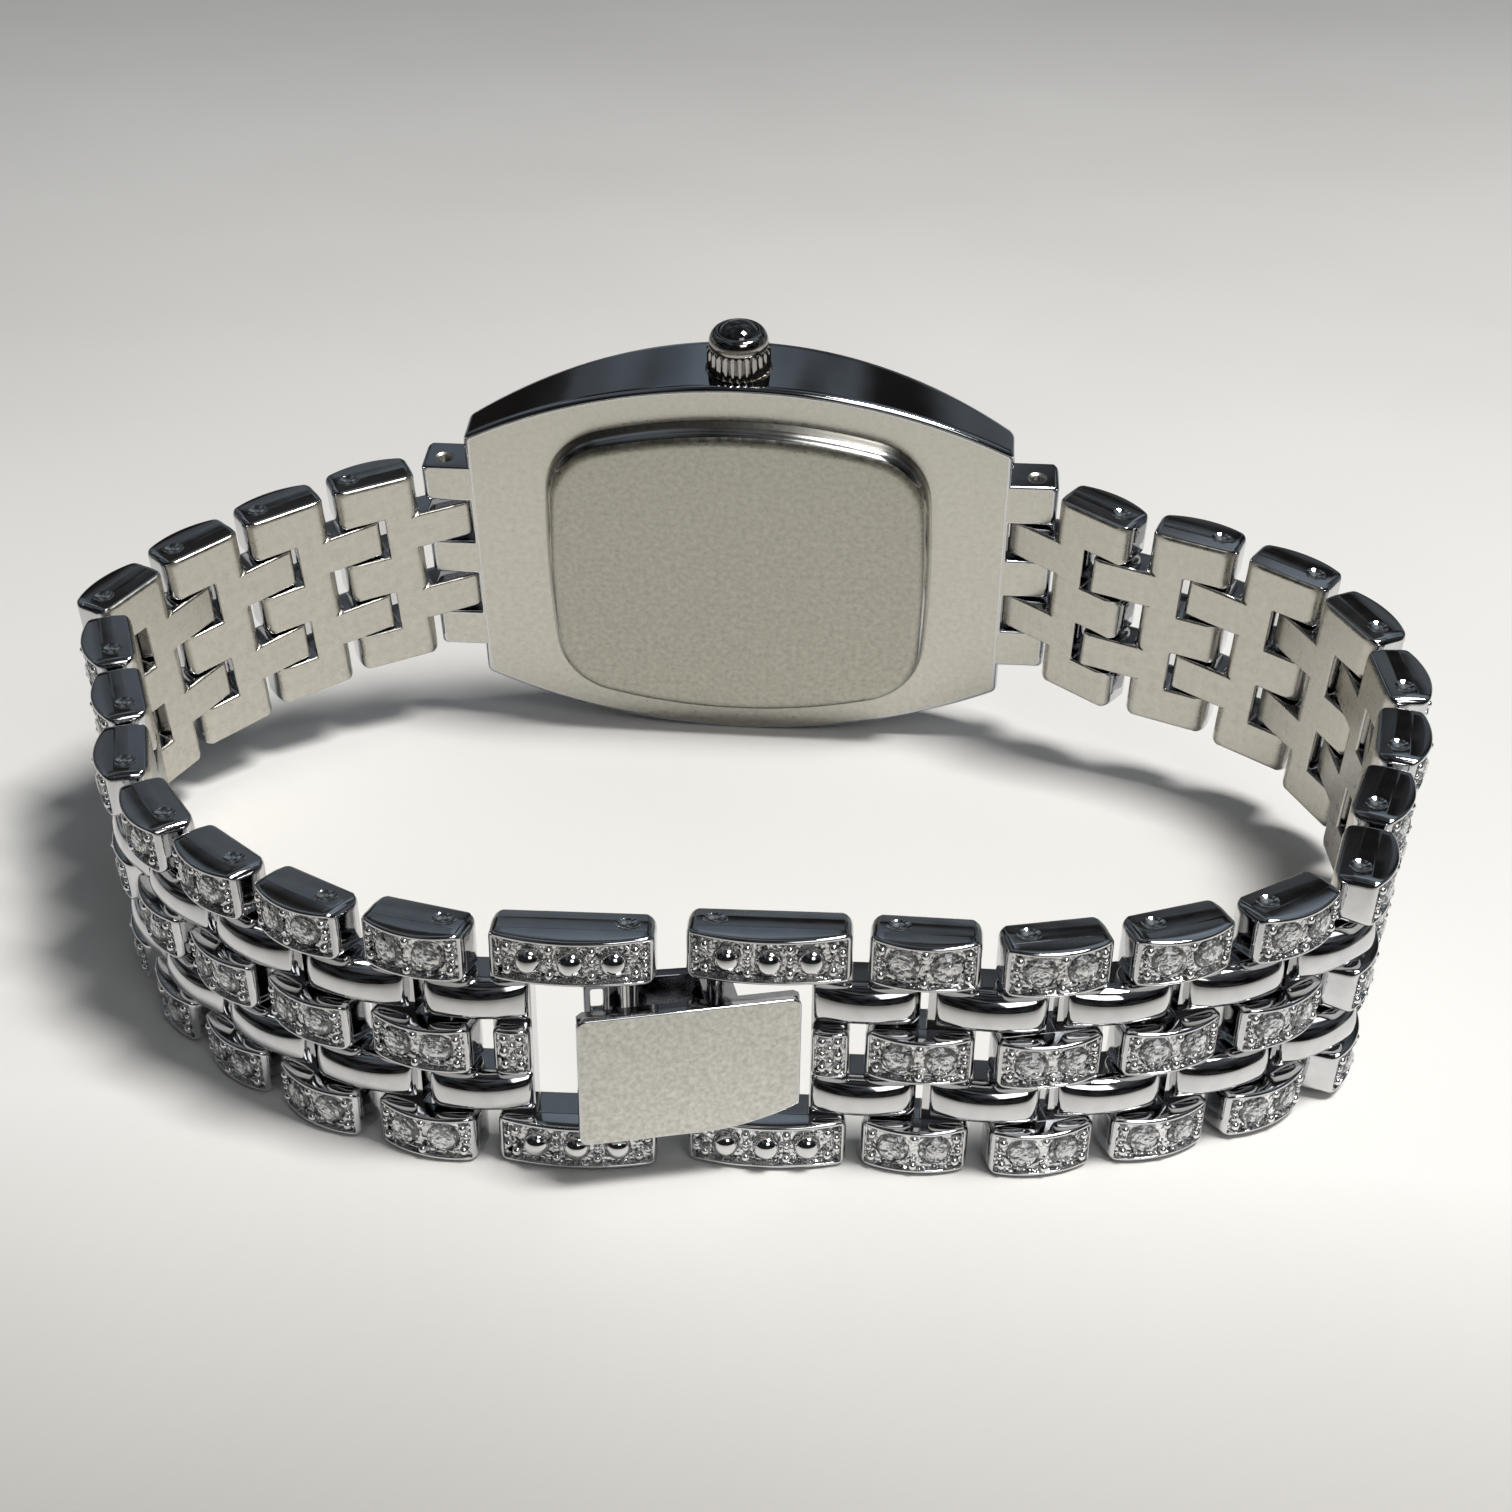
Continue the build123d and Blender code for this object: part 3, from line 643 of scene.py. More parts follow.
def arched_cap(x0, x1, z, half, shoulder, crest, rim=0.17, deep=0.36, y_low=0.56, nx=16, mat_floor=0, inset=0.006, end_drop=0.14, round_r=0.40):
    """Outer part of a block: arched, with a thin rim round a channel."""
    s = Shell()
    loops = []

    def loop(d, dy, soften=0.0):
        a, b, w = x0 + d, x1 - d, half - d
        r = max(round_r - d * 1.5, 0.10)
        pts = []
        xs = [a + r + (b - a - 2 * r) * i / nx for i in range(nx + 1)]
        pts += [(x, -w) for x in xs]
        for k in range(1, 4):
            t = -math.pi / 2 + math.pi / 2 * k / 4
            pts.append((b - r + r * math.cos(t), -w + r + r * math.sin(t)))
        pts += [(b, -w + r), (b, 0.0), (b, w - r)]
        for k in range(1, 4):
            t = math.pi / 2 * k / 4
            pts.append((b - r + r * math.cos(t), w - r + r * math.sin(t)))
        pts += [(x, w) for x in reversed(xs)]
        for k in range(1, 4):
            t = math.pi / 2 + math.pi / 2 * k / 4
            pts.append((a + r + r * math.cos(t), w - r + r * math.sin(t)))
        pts += [(a, w - r), (a, 0.0), (a, -w + r)]
        for k in range(1, 4):
            t = math.pi + math.pi / 2 * k / 4
            pts.append((a + r + r * math.cos(t), -w + r + r * math.sin(t)))
        out = []
        for x, zz in pts:
            y = arc_height(x, x0, x1, shoulder, crest)
            y -= end_drop * max(0.0, 1 - min(x - x0, x1 - x) / 0.40) ** 2
            if isinstance(dy, tuple):
                y = y_low + (y - 0.16 - y_low) * dy[0]
            else:
                y += dy
            out.append((x, y, z + zz * (1 - bulge(y) / half)))
        return out

    plan = [(inset, (0.0,)), (inset, (0.35,)), (inset, (0.7,)), (inset, -0.16), (inset + 0.010, -0.095), (inset + 0.034, -0.043), (inset + 0.07, -0.012), (inset + 0.105, 0.0),
            (rim - 0.015, 0.0), (rim + 0.012, -0.020), (rim + 0.022, -0.06), (rim + 0.05, -deep + 0.05), (rim + 0.10, -deep)]
    for d, dy in plan:
        loops.append(loop(d, dy))
    skin(s, loops, [0] * (len(loops) - 3) + [mat_floor] * 2, cap_first=0)
    # floor: strips between the two long sides of the last loop
    last = loops[-1]
    n = len(last)
    e = len(s.v) - n
    half_count = nx + 1
    # right half end points and left half end points
    right_end = list(range(nx, nx + 10))          # from the last low point round to the first high point
    left_end = list(range(2 * nx + 10, n)) + [0]
    low = list(range(0, nx + 1))
    high = list(range(2 * nx + 9, nx + 8, -1))
    for i in range(nx):
        s.f.append((e + low[i], e + low[i + 1], e + high[i + 1], e + high[i]))
        s.m.append(mat_floor)
    s.f.append(tuple(e + i for i in right_end))
    s.m.append(mat_floor)
    s.f.append(tuple(e + i for i in left_end))
    s.m.append(mat_floor)
    return s


def dome_bar(x0, x1, z, half, shoulder, crest, y_low=0.30, nx=30, na=18):
    """Outer part of a finger: a long smooth dome with blunt ends."""
    s = Shell()
    m = (x0 + x1) / 2
    rows = []
    for i in range(nx + 1):
        # closer rows at both ends
        u = i / nx
        x = m - (x1 - x0) / 2 * math.cos(math.pi * u)
        top = arc_height(x, x0, x1, shoulder, crest)
        e = min(x - x0, x1 - x)
        drop = 0.0
        w = half
        near = x < m
        er = 0.62 if near else 0.22
        if e < er:
            q = 1 - e / er
            fall = 1 - math.sqrt(max(1 - q * q, 0))
            drop = fall * (0.60 if near else 0.20)
            w = half - fall * (0.52 if near else 0.10)
        row = [(x, y_low, z - w)]
        for k in range(na + 1):
            a = -math.pi / 2 + math.pi * k / na
            sx, cx = math.sin(a), math.cos(a)
            zz = w * math.copysign(abs(sx) ** 0.96, sx)
            spring = 0.40
            yy = spring + (top - drop - spring) * abs(cx) ** 0.96
            row.append((x, yy, z + zz))
        row.append((x, y_low, z + w))
        rows.append(row)
    n = len(rows[0])
    base = s.add([p for r in rows for p in r], [])
    for i in range(nx):
        for k in range(n):
            a, b = base + i * n + k, base + i * n + (k + 1) % n
            s.f.append((a, a + n, b + n, b))
            s.m.append(0)
    s.f.append(tuple(base + k for k in range(n)))
    s.m.append(0)
    s.f.append(tuple(base + nx * n + k for k in reversed(range(n))))
    s.m.append(0)
    return s


def ball(x, y, z, r, n=14, rows=7, flat=1.0):
    """Round grain; flat squeezes its height."""
    prof = [(r * math.sin(math.pi * k / rows), flat * r * math.cos(math.pi * k / rows)) for k in range(rows + 1)]
    prof[0] = (0.0, prof[0][1])
    prof[-1] = (0.0, prof[-1][1])
    return placed(revolve(prof, n=n), pos(x, y, z))


def gem(x, y, z, r, turn=0.0, tilt=0.0):
    """Round cut stone, table at height y: eight-sided table, two rows of crown facets, girdle, pavilion."""
    s = Shell()

    def ring(n, rad, h, off):
        return [(rad * math.cos(2 * math.pi * (i + off) / n), h, rad * math.sin(2 * math.pi * (i + off) / n)) for i in range(n)]

    t = ring(8, 0.53 * r, 0.0, 0.0)
    k = ring(8, 0.78 * r, -0.17 * r, 0.5)
    g = ring(16, r, -0.36 * r, 0.0)
    g2 = ring(16, r, -0.42 * r, 0.0)
    p = ring(8, 0.52 * r, -0.80 * r, 0.5)
    c = [(0, -1.12 * r, 0)]
    b = s.add(t + k + g + g2 + p + c, [])
    T, K, G, H, P, C = b, b + 8, b + 16, b + 32, b + 48, b + 56
    f = [tuple(T + i for i in range(8))]
    for i in range(8):
        j = (i + 1) % 8
        f.append((T + i, K + i, T + j))                                   # star
        f.append((T + j, K + i, G + (2 * i + 2) % 16, K + j))             # kite
        f.append((K + i, G + 2 * i, G + 2 * i + 1))
        f.append((K + i, G + 2 * i + 1, G + (2 * i + 2) % 16))
        f.append((P + i, H + 2 * i + 1, H + 2 * i))
        f.append((P + i, H + (2 * i + 2) % 16, H + 2 * i + 1))
        f.append((P + i, P + j, H + (2 * i + 2) % 16))
        f.append((C, P + j, P + i))
    for i in range(16):
        j = (i + 1) % 16
        f.append((G + i, H + i, H + j, G + j))
    s.f += f
    s.m += [1 if min(q) >= H else 0 for q in f]
    return placed(s, pos(x, y, z) @ rot(tilt) @ rot(0, turn, 0))


ROWS_OUT = (-2 * ROW, 0.0, 2 * ROW)
ROWS_IN = (-ROW, ROW)
BM = (B0 + B1) / 2
STONE_R, STONE_DX = 0.82, 1.08


def link_meshes():
    base = base_plate(B1).mesh("link_base", [POLISHED, SATIN], sharp=38)
    base = boolean_cut(base, [pin_sink(PITCH, 1), pin_sink(PITCH, -1)])
    top = Shell()
    for z in ROWS_OUT:
        top.join(arched_cap(B0, B1, z, ROW / 2, SHOULDER, OUTER, rim=0.19, deep=0.30, mat_floor=2))
    for z in ROWS_IN:
        top.join(dome_bar(TIP - 0.06, SLOT - 0.34, z, FH - 0.004, 1.06, 1.56))
    top_mesh = top.mesh("link_caps", [POLISHED, SATIN, PAVE], sharp=42)
    grains = Shell()
    stones = Shell()
    for r, z in enumerate(ROWS_OUT):
        for i, dx in enumerate((-STONE_DX, STONE_DX)):
            x = BM + dx
            y = arc_height(x, B0, B1, SHOULDER, OUTER)
            tilt = math.degrees(math.atan2(arc_height(x + 0.1, B0, B1, SHOULDER, OUTER) - y, 0.1))
            g = gem(0, 0, 0, STONE_R, turn=(17 * r + 31 * i) % 45)
            stones.join(g, pos(x, y + 0.06, z) @ rot(0, 0, tilt))
        for dx, dz, size in ((0.0, 0.78, 0.21), (-1.98, 0.66, 0.22), (1.98, 0.66, 0.22), (-2.10, 0.18, 0.15), (2.10, 0.18, 0.15)):
            for s in (-1, 1):
                x = BM + dx
                y = arc_height(x, B0, B1, SHOULDER, OUTER)
                grains.join(ball(x, y - 0.09, z + s * dz, size, n=14, rows=7))
    grain_mesh = grains.mesh("link_grains", [GRAIN_STEEL], sharp=80)
    stone_mesh = stones.mesh("link_stones", [STONE, FOIL], sharp=0)
    pin_mesh = pin_shape(PITCH, 0.40, WIDTH / 2).mesh("link_pin", [PIN_STEEL], sharp=50)
    return base, top_mesh, grain_mesh, stone_mesh, pin_mesh


def merge(name, *meshes):
    """Joins meshes that share one list of materials by name."""
    import bmesh
    mats, bm = [], bmesh.new()
    for me in meshes:
        where = []
        for k in me.materials:
            if k not in mats:
                mats.append(k)
            where.append(mats.index(k))
        start = len(bm.faces)
        bm.from_mesh(me)
        bm.faces.ensure_lookup_table()
        for f in bm.faces[start:]:
            f.material_index = where[f.material_index]
    out = bpy.data.meshes.new(name)
    for k in mats:
        out.materials.append(k)
    bm.to_mesh(out)
    bm.free()
    out.update()
    return out


L_BASE, L_TOP, L_GRAIN, L_STONE, L_PIN = link_meshes()
L_CAST = finish(merge("link_casting", L_BASE, L_TOP, L_GRAIN))


def place_link(side, i, at):
    m = STAND @ at
    node_name = "link_%s_%02d" % (side, i)
    body = "bracelet_%s_%02d" % (side, i)
    show(node_name + "_casting", L_CAST, m, body, node_name, slot="polished_steel")
    show(node_name + "_stones", L_STONE, m, body, node_name, slot="clear_stone")
    show(node_name + "_pin", L_PIN, m, body, node_name, slot="pin_steel")


for i, at in enumerate(LEFT[:-1]):
    place_link("left", i + 1, at @ FLIP)
for i, at in enumerate(RIGHT[:-1]):
    place_link("right", i + 1, at)


# ---------------------------------------------------------------- clasp frames
def frame_mesh():
    end = FRAME_PIN + FRAME_END
    base = base_plate(end, WINDOW).mesh("frame_base", [POLISHED, SATIN], sharp=38)
    base = boolean_cut(base, [pin_sink(FRAME_PIN, 1), pin_sink(FRAME_PIN, -1)])
    top = Shell()
    for z in (ROWS_OUT[0], ROWS_OUT[2]):
        top.join(arched_cap(B0, end, z, ROW / 2, SHOULDER + 0.02, OUTER, rim=0.20, deep=0.40, nx=24, mat_floor=2))
    top.join(arched_cap(B0, WINDOW, 0.0, ROW / 2, SHOULDER + 0.2, SHOULDER + 0.42, rim=0.16, deep=0.26, nx=6, mat_floor=2))
    for z in ROWS_IN:
        top.join(dome_bar(TIP - 0.06, WINDOW - 0.06, z, FH - 0.004, 1.04, 1.52))
    m = (B0 + end) / 2
    grains = Shell()
    beads = Shell()
    for z in (ROWS_OUT[0], ROWS_OUT[2]):
        for dx in (-1.93, 0, 1.93):
            x = m + dx
            y = arc_height(x, B0, end, SHOULDER + 0.02, OUTER)
            beads.join(ball(x, y - 0.20, z, 0.66, n=32, rows=16, flat=0.90))
        for dx, dz, size in ((-0.965, 0.66, 0.22), (0.965, 0.66, 0.22), (-0.965, 0.10, 0.17), (0.965, 0.10, 0.17), (-2.92, 0.62, 0.24), (2.92, 0.62, 0.24), (-3.34, 0.30, 0.20), (3.34, 0.30, 0.20)):
            for s in (-1, 1):
                x = m + dx
                y = arc_height(x, B0, end, SHOULDER + 0.02, OUTER)
                grains.join(ball(x, y - 0.13, z + s * dz, size, n=14, rows=7))
    for dx, dz, r in ((-0.36, -0.72, 0.24), (0.36, -0.70, 0.22), (-0.38, 0.0, 0.24), (0.36, 0.04, 0.20), (-0.34, 0.70, 0.22), (0.38, 0.72, 0.24), (0.0, -0.36, 0.16), (0.02, 0.38, 0.16)):
        x = (B0 + WINDOW) / 2 + dx
        y = arc_height(x, B0, WINDOW, SHOULDER + 0.2, SHOULDER + 0.42)
        grains.join(ball(x, y - 0.14, dz, r, n=14, rows=7))
    return finish(merge("frame_casting", base, top.mesh("frame_caps", [POLISHED, SATIN, PAVE], sharp=42), beads.mesh("frame_beads", [BEAD_STEEL], sharp=80), grains.mesh("frame_grains", [GRAIN_STEEL], sharp=80)))


F_CAST = frame_mesh()
F_PIN = pin_shape(FRAME_PIN, 0.41, WIDTH / 2).mesh("cross_pin", [PIN_STEEL], sharp=50)
for side, at in (("left", LEFT[-1] @ FLIP), ("right", RIGHT[-1])):
    show("clasp_frame_%s_casting" % side, F_CAST, STAND @ at, "clasp_" + side, "clasp_frame_" + side, slot="polished_steel")
    show("clasp_pin_%s_rod" % side, F_PIN, STAND @ at, "clasp_" + side, "clasp_pin_" + side, slot="pin_steel")


# ---------------------------------------------------------------- clasp cover and blade
def rect(x0, x1, z0, z1):
    return [(x0, z0), (x1, z0), (x1, z1), (x0, z1)]


COVER_H, COVER_LEFT, COVER_TAIL, COVER_CUT, COVER_OUT, COVER_OPEN, COVER_LOW = 6.98, 6.85, 3.575, 0.58, 2.40, 3.6, -0.30


def cover_mesh():
    s = Shell()
    h, e = COVER_H / 2, 0.74
    # front plate, its outer face satin, with a curved cut at one corner
    cut = arc_pts((-COVER_TAIL, -2.40), (-1.60, -3.14), (COVER_CUT, -h), 7) + [(COVER_CUT, -h)]
    cut = [(-COVER_TAIL, -2.40)] + cut[1:-1] + [(COVER_CUT, -h)]
    corners = cut + [(COVER_LEFT, -h), (COVER_LEFT, h), (-COVER_TAIL, h)]
    radii = [0.02] * len(cut) + [0.42, 0.42, 0.42]
    top = plate(corners, radii, -COVER_OUT, 0.38 - COVER_OUT, [0.09] * len(corners), [0.03] * len(corners), seg=5, steps=4, flat_mat=1, side_mat=0, top_mat=0)
    top.v = [(x, -y, z) for x, y, z in top.v]
    s.join(top)
    for q in (-1, 1):
        z0, z1 = sorted((q * (h - 0.015), q * (h - 0.33)))
        x0, x1 = (-COVER_TAIL + 0.05 if q > 0 else COVER_CUT), COVER_LEFT - 0.05
        low, high = COVER_OUT - 0.85, COVER_OUT - 0.34
        side = Shell()
        pts = [(x1 - 0.30, low), (x1, low + 0.30), (x1, high), (x0, high), (x0, low + 0.2), (x0 + 0.2, low)]
        lo = [(x, y, z0) for x, y in pts]
        hi = [(x, y, z1) for x, y in pts]
        skin(side, [lo, hi], 2, cap_first=2, cap_last=2)
        s.join(side)
        ear = Shell()
        pts = [(e, COVER_OUT - 0.36), (-e, COVER_OUT - 0.36)] + [(e * math.cos(a), e * math.sin(a)) for a in np.linspace(math.pi, 2 * math.pi, 19)]
        lo = [(x, y, z0 + 0.004) for x, y in pts]
        hi = [(x, y, z1 - 0.004) for x, y in pts]
        skin(ear, [lo, hi], 2, cap_first=2, cap_last=2)
        s.join(ear)
    out = Shell()
    out.join(s, rot(0, 0, COVER_OPEN) @ pos(0, 0, MID + COVER_LOW))
    return finish(out.mesh("clasp_cover_shape", [POLISHED, COVER_SATIN, BLADE_STEEL], sharp=40))


COVER = cover_mesh()
show("clasp_cover_plate", COVER, STAND @ BLADE_AT, "clasp_cover_body", "clasp_cover", slot="satin_steel")


def blade_mesh():
    s = Shell()
    h = 3.05
    body = plate(rect(-0.35, SPAN + 0.95, MID - h, MID + h), [0.4] * 4, -1.40, -0.80, [0.08] * 4, [0.08] * 4, seg=5, steps=3, flat_mat=0, side_mat=0, top_mat=0)
    s.join(body)
    for x in (0.0, SPAN):
        tube = []
        for r, z in ((0.52, -1.38), (0.86, -1.40), (0.95, -1.30), (0.95, 1.30), (0.86, 1.40), (0.52, 1.38)):
            tube.append([(x + r * math.cos(2 * math.pi * i / 36), r * math.sin(2 * math.pi * i / 36), MID + z) for i in range(36)])
        tube.append(tube[0])
        skin(s, tube[:-1], 0)
        n = 36
        base = len(s.v) - 6 * n
        for i in range(n):
            s.f.append((base + 5 * n + i, base + 5 * n + (i + 1) % n, base + (i + 1) % n, base + i))
            s.m.append(0)
    # catch loop: a small frame with a window
    z1, z0 = MID + 2.75, MID + 0.95
    xo = (SPAN + 0.80, SPAN + 2.05)
    xi = (SPAN + 1.14, SPAN + 1.74)
    zo, zi = (z0, z1), (z0 + 0.31, z1 - 0.31)

    def ring(xr, zr, r, y):
        at = outline(rect(xr[0], xr[1], zr[0], zr[1]), [r] * 4, 4)
        return [(x, y, z) for x, z in at([0] * 4)[0]]

    loops = [ring(xo, zo, 0.28, -1.34), ring((xo[0] + 0.05, xo[1] - 0.05), (zo[0] + 0.05, zo[1] - 0.05), 0.25, -1.40), ring((xi[0] - 0.05, xi[1] + 0.05), (zi[0] - 0.05, zi[1] + 0.05), 0.15, -1.40),
             ring(xi, zi, 0.12, -1.34), ring(xi, zi, 0.12, -0.94), ring((xi[0] - 0.05, xi[1] + 0.05), (zi[0] - 0.05, zi[1] + 0.05), 0.15, -0.88),
             ring((xo[0] + 0.05, xo[1] - 0.05), (zo[0] + 0.05, zo[1] - 0.05), 0.25, -0.88), ring(xo, zo, 0.28, -0.94)]
    loops.append(loops[0])
    skin(s, loops, 0)
    return finish(s.mesh("clasp_blade_shape", [BLADE_STEEL], sharp=40))


show("clasp_blade_plate", blade_mesh(), STAND @ BLADE_AT, "clasp_blade_body", "clasp_blade", slot="polished_steel")


# ---------------------------------------------------------------- case: X length, Y height, Z towards the back (back plane z = 0)
def barrel(half_l, half_end, half_mid, bow, r, n=40, m=12, k=8):
    """Barrel outline, counter-clockwise, with corner radius r. The number of points is fixed by n, m and k."""
    a, b, c = half_l, half_end, half_mid
    sides = [((a, -b), (a + bow, 0), (a, b), m), ((a, b), (0, c), (-a, b), n), ((-a, b), (-a - bow, 0), (-a, -b), m), ((-a, -b), (0, -c), (a, -b), n)]
    # dense arcs, cut short by the corner radius, with round corners between
    out = []
    dense = []
    for p0, pm, p1, cnt in sides:
        pts = arc_pts(p0, pm, p1, 400) + [p1]
        dense.append(np.array(pts))

    def cut(pts, length, from_end):
        d = np.r_[0, np.cumsum(np.linalg.norm(np.diff(pts, axis=0), axis=1))]
        total = d[-1]
        s = total - length if from_end else length
        return np.array([np.interp(s, d, pts[:, 0]), np.interp(s, d, pts[:, 1])]), s, d

    for i, (p0, pm, p1, cnt) in enumerate(sides):
        pts = dense[i]
        nxt = dense[(i + 1) % 4]
        t1 = pts[-1] - pts[-2]
        t2 = nxt[1] - nxt[0]
        prev = dense[i - 1]
        t0 = prev[-1] - prev[-2]
        t0b = pts[1] - pts[0]

        def turn(u, v):
            return math.acos(max(-1, min(1, float(u @ v / np.linalg.norm(u) / np.linalg.norm(v)))))

        l0 = r * math.tan(turn(t0, t0b) / 2)
        l1 = r * math.tan(turn(t1, t2) / 2)
        d = np.r_[0, np.cumsum(np.linalg.norm(np.diff(pts, axis=0), axis=1))]
        ss = np.linspace(l0, d[-1] - l1, cnt + 1)
        run = [(float(np.interp(s, d, pts[:, 0])), float(np.interp(s, d, pts[:, 1]))) for s in ss]
        out += run
        # corner
        e0 = np.array(run[-1])
        dn = np.r_[0, np.cumsum(np.linalg.norm(np.diff(nxt, axis=0), axis=1))]
        e1 = np.array([np.interp(l1, dn, nxt[:, 0]), np.interp(l1, dn, nxt[:, 1])])
        corner = pts[-1]
        for q in range(1, k):
            t = q / k
            # rational arc between the two tangent points
            w = math.cos(turn(t1, t2) / 2)
            bz = ((1 - t) ** 2 * e0 + 2 * w * t * (1 - t) * corner + t * t * e1) / ((1 - t) ** 2 + 2 * w * t * (1 - t) + t * t)
            out.append((float(bz[0]), float(bz[1])))
    return out


def offset_loop(pts, d):
    """Moves each point of a closed counter-clockwise loop inward by d."""
    p = np.array(pts)
    a, b = np.roll(p, 1, 0), np.roll(p, -1, 0)
    e1, e2 = p - a, b - p
    e1 /= np.maximum(np.linalg.norm(e1, axis=1), 1e-9)[:, None]
    e2 /= np.maximum(np.linalg.norm(e2, axis=1), 1e-9)[:, None]
    n1, n2 = np.stack([-e1[:, 1], e1[:, 0]], 1), np.stack([-e2[:, 1], e2[:, 0]], 1)
    m = n1 + n2
    m /= np.maximum(np.sum(m * n1, axis=1), 0.3)[:, None] * 1.0
    m /= 1.0
    return p + m * d


def arch_z(x, deep_mid, deep_end, half=CASE_L / 2):
    """Front surface: an arch along the length."""
    return -arc_height(x, -half, half, deep_end, deep_mid)


def case_mesh():
    s = Shell()
    out = barrel(16.2, 8.6, 12.4, 0.0, 0.55)
    n = len(out)

    def flat(d, z):
        return [(x, y, z) for x, y in offset_loop(out, d)]

    def front(d, up):
        return [(x, y, arch_z(x, 5.6, 2.7) + up) for x, y in offset_loop(out, d)]

    win = barrel(9.0, 6.6, 7.8, 0.2, 2.2)

    def window(d, up=None, z=None):
        return [(x, y, arch_z(x, 5.6, 2.7) + up if z is None else z) for x, y in offset_loop(win, d)]

    loops = [flat(0.34, 0.0)] + [flat(0.30 * (1 - math.sin(math.pi / 2 * k / 6)), -0.30 * (1 - math.cos(math.pi / 2 * k / 6))) for k in range(7)] + [flat(0.0, -0.5)]
    loops += [front(0.0, 0.62), front(0.0, 0.50), front(0.06, 0.24), front(0.20, 0.09), front(0.44, 0.0)]
    # domed bezel up to the window
    a, b = front(0.44, 0.0), window(-0.62, 0.0)
    for t in (0.2, 0.4, 0.6, 0.8, 1.0):
        loops.append([tuple(np.array(p) * (1 - t) + np.array(q) * t + np.array([0, 0, -0.22 * math.sin(math.pi * t)])) for p, q in zip(a, b)])
    loops += [window(-0.25, -0.16), window(-0.10, -0.12), window(-0.02, -0.02), window(0.0, 0.10), window(0.0, z=-3.28)]
    skin(s, loops, [2] + [1] * (len(loops) - 2), cap_first=0, cap_last=2)
    me = s.mesh("case_shape", [CASE_SATIN, CASE_POLISHED, HAND_STEEL], sharp=30)
    return me


def lug_mesh():
    """Both lug combs, three blocks each side, with the notch for the first link's fingers."""
    s = Shell()
    h, w = ROW / 2, WIDTH / 2
    x0, xe, xs = 14.6, LUG_X + END, LUG_X - 1.5
    kinds = ["S", "E", "S", "B", "S", "E", "S", "B", "S", "E", "S", "N"]
    soft0 = [{"S": 0.16, "E": 0.34, "B": 0.14, "N": 0.05}[k] for k in kinds]
    soft1 = [{"S": 0.20, "E": 0.85, "B": 0.14, "N": 0.05}[k] for k in kinds]
    radii = [0.05, 0.30, 0.26, 0.10, 0.10, 0.26, 0.26, 0.10, 0.10, 0.26, 0.30, 0.05]
    for side, low, high in ((1, 0.0, 0.0), (-1, 0.08, 0.22)):
        corners = [(x0, -w), (xe, -w), (xe, -3 * h - low), (xs, -3 * h - low), (xs, -h + high), (xe, -h + high), (xe, h - low), (xs, h - low), (xs, 3 * h + high), (xe, 3 * h + high), (xe, w), (x0, w)]
        one = plate(corners, radii, 0.006, 2.72, soft0, soft1, seg=4, steps=5, flat_mat=0, side_mat=1, top_mat=1)
        one.v = [(side * x, z, -y) for x, y, z in one.v]       # thickness along -z
        s.join(one)
    me = s.mesh("lug_shape", [CASE_SATIN, CASE_POLISHED], sharp=36)
    cuts = []
    for sx in (-1, 1):
        for sy in (-1, 1):
            c = placed(pin_sink(0, 1), rot(-90))
            cuts.append(placed(c, pos(sx * LUG_X, 0, -LUG_DEPTH) @ (rot(180) if sy < 0 else Matrix.Identity(4))))
    return boolean_cut(me, cuts)


CASE_AT = STAND @ FLAT_TO_CASE
CASE = case_mesh()
# round seat and bore for the crown
seat = revolve([(0.0, 12.15), (1.97, 12.15), (1.97, 20.0), (0.0, 20.0)], n=64)
CASE = boolean_cut(CASE, [placed(seat, pos(0, 0, CROWN_Z))])
CASE.set_sharp_from_angle(angle=math.radians(30))
CASE = finish(merge("case_middle_shape", CASE, lug_mesh()))
show("case_middle_body", CASE, CASE_AT, "case", "case_middle", slot="polished_steel")


def back_mesh():
    s = Shell()
    out = barrel(11.25, 8.3, 10.3, 0.45, 4.6)

    def at(d, z):
        return [(x, y, z) for x, y in offset_loop(out, d)]

    loops = [at(0.9, -1.0), at(0.65, -1.0), at(0.62, 0.02), at(0.0, 0.02), at(0.0, 0.10), at(0.02, 0.16)]
    rise, r = 1.30, 1.02
    for k in range(0, 13):
        t = math.pi / 2 * k / 12
        loops.append(at(0.05 + r * (1 - math.cos(t)), rise - r * (1 - math.sin(t)) * 1.02))
    loops.append(at(1.35, rise - 0.002))
    loops.append(at(1.6, rise - 0.004))
    mats = [0] * (len(loops) - 1)
    for j in range(len(loops) - 1):
        mats[j] = 1
    for j in range(1, 8):
        mats[-j] = 0
    skin(s, loops, mats, cap_first=0, cap_last=0)
    return finish(s.mesh("case_back_shape", [BACK_SATIN, BACK_WALL], sharp=50))


BACK_WALL = metal("worn_polish_back_wall", (0.55, 0.55, 0.54), (0.64, 0.63, 0.61), 0.10, 0.17, cloud=300.0, grain=3600.0, grain_bump=0.08,
                  streaks=[(900.0, (1, 6, 1), (0.3, 0.5, 0.2), 0.64, 0.74)], streak_bump=0.03, streak_rough=0.06)
show("case_back_shell", back_mesh(), CASE_AT, "case", "case_back", slot="satin_steel")


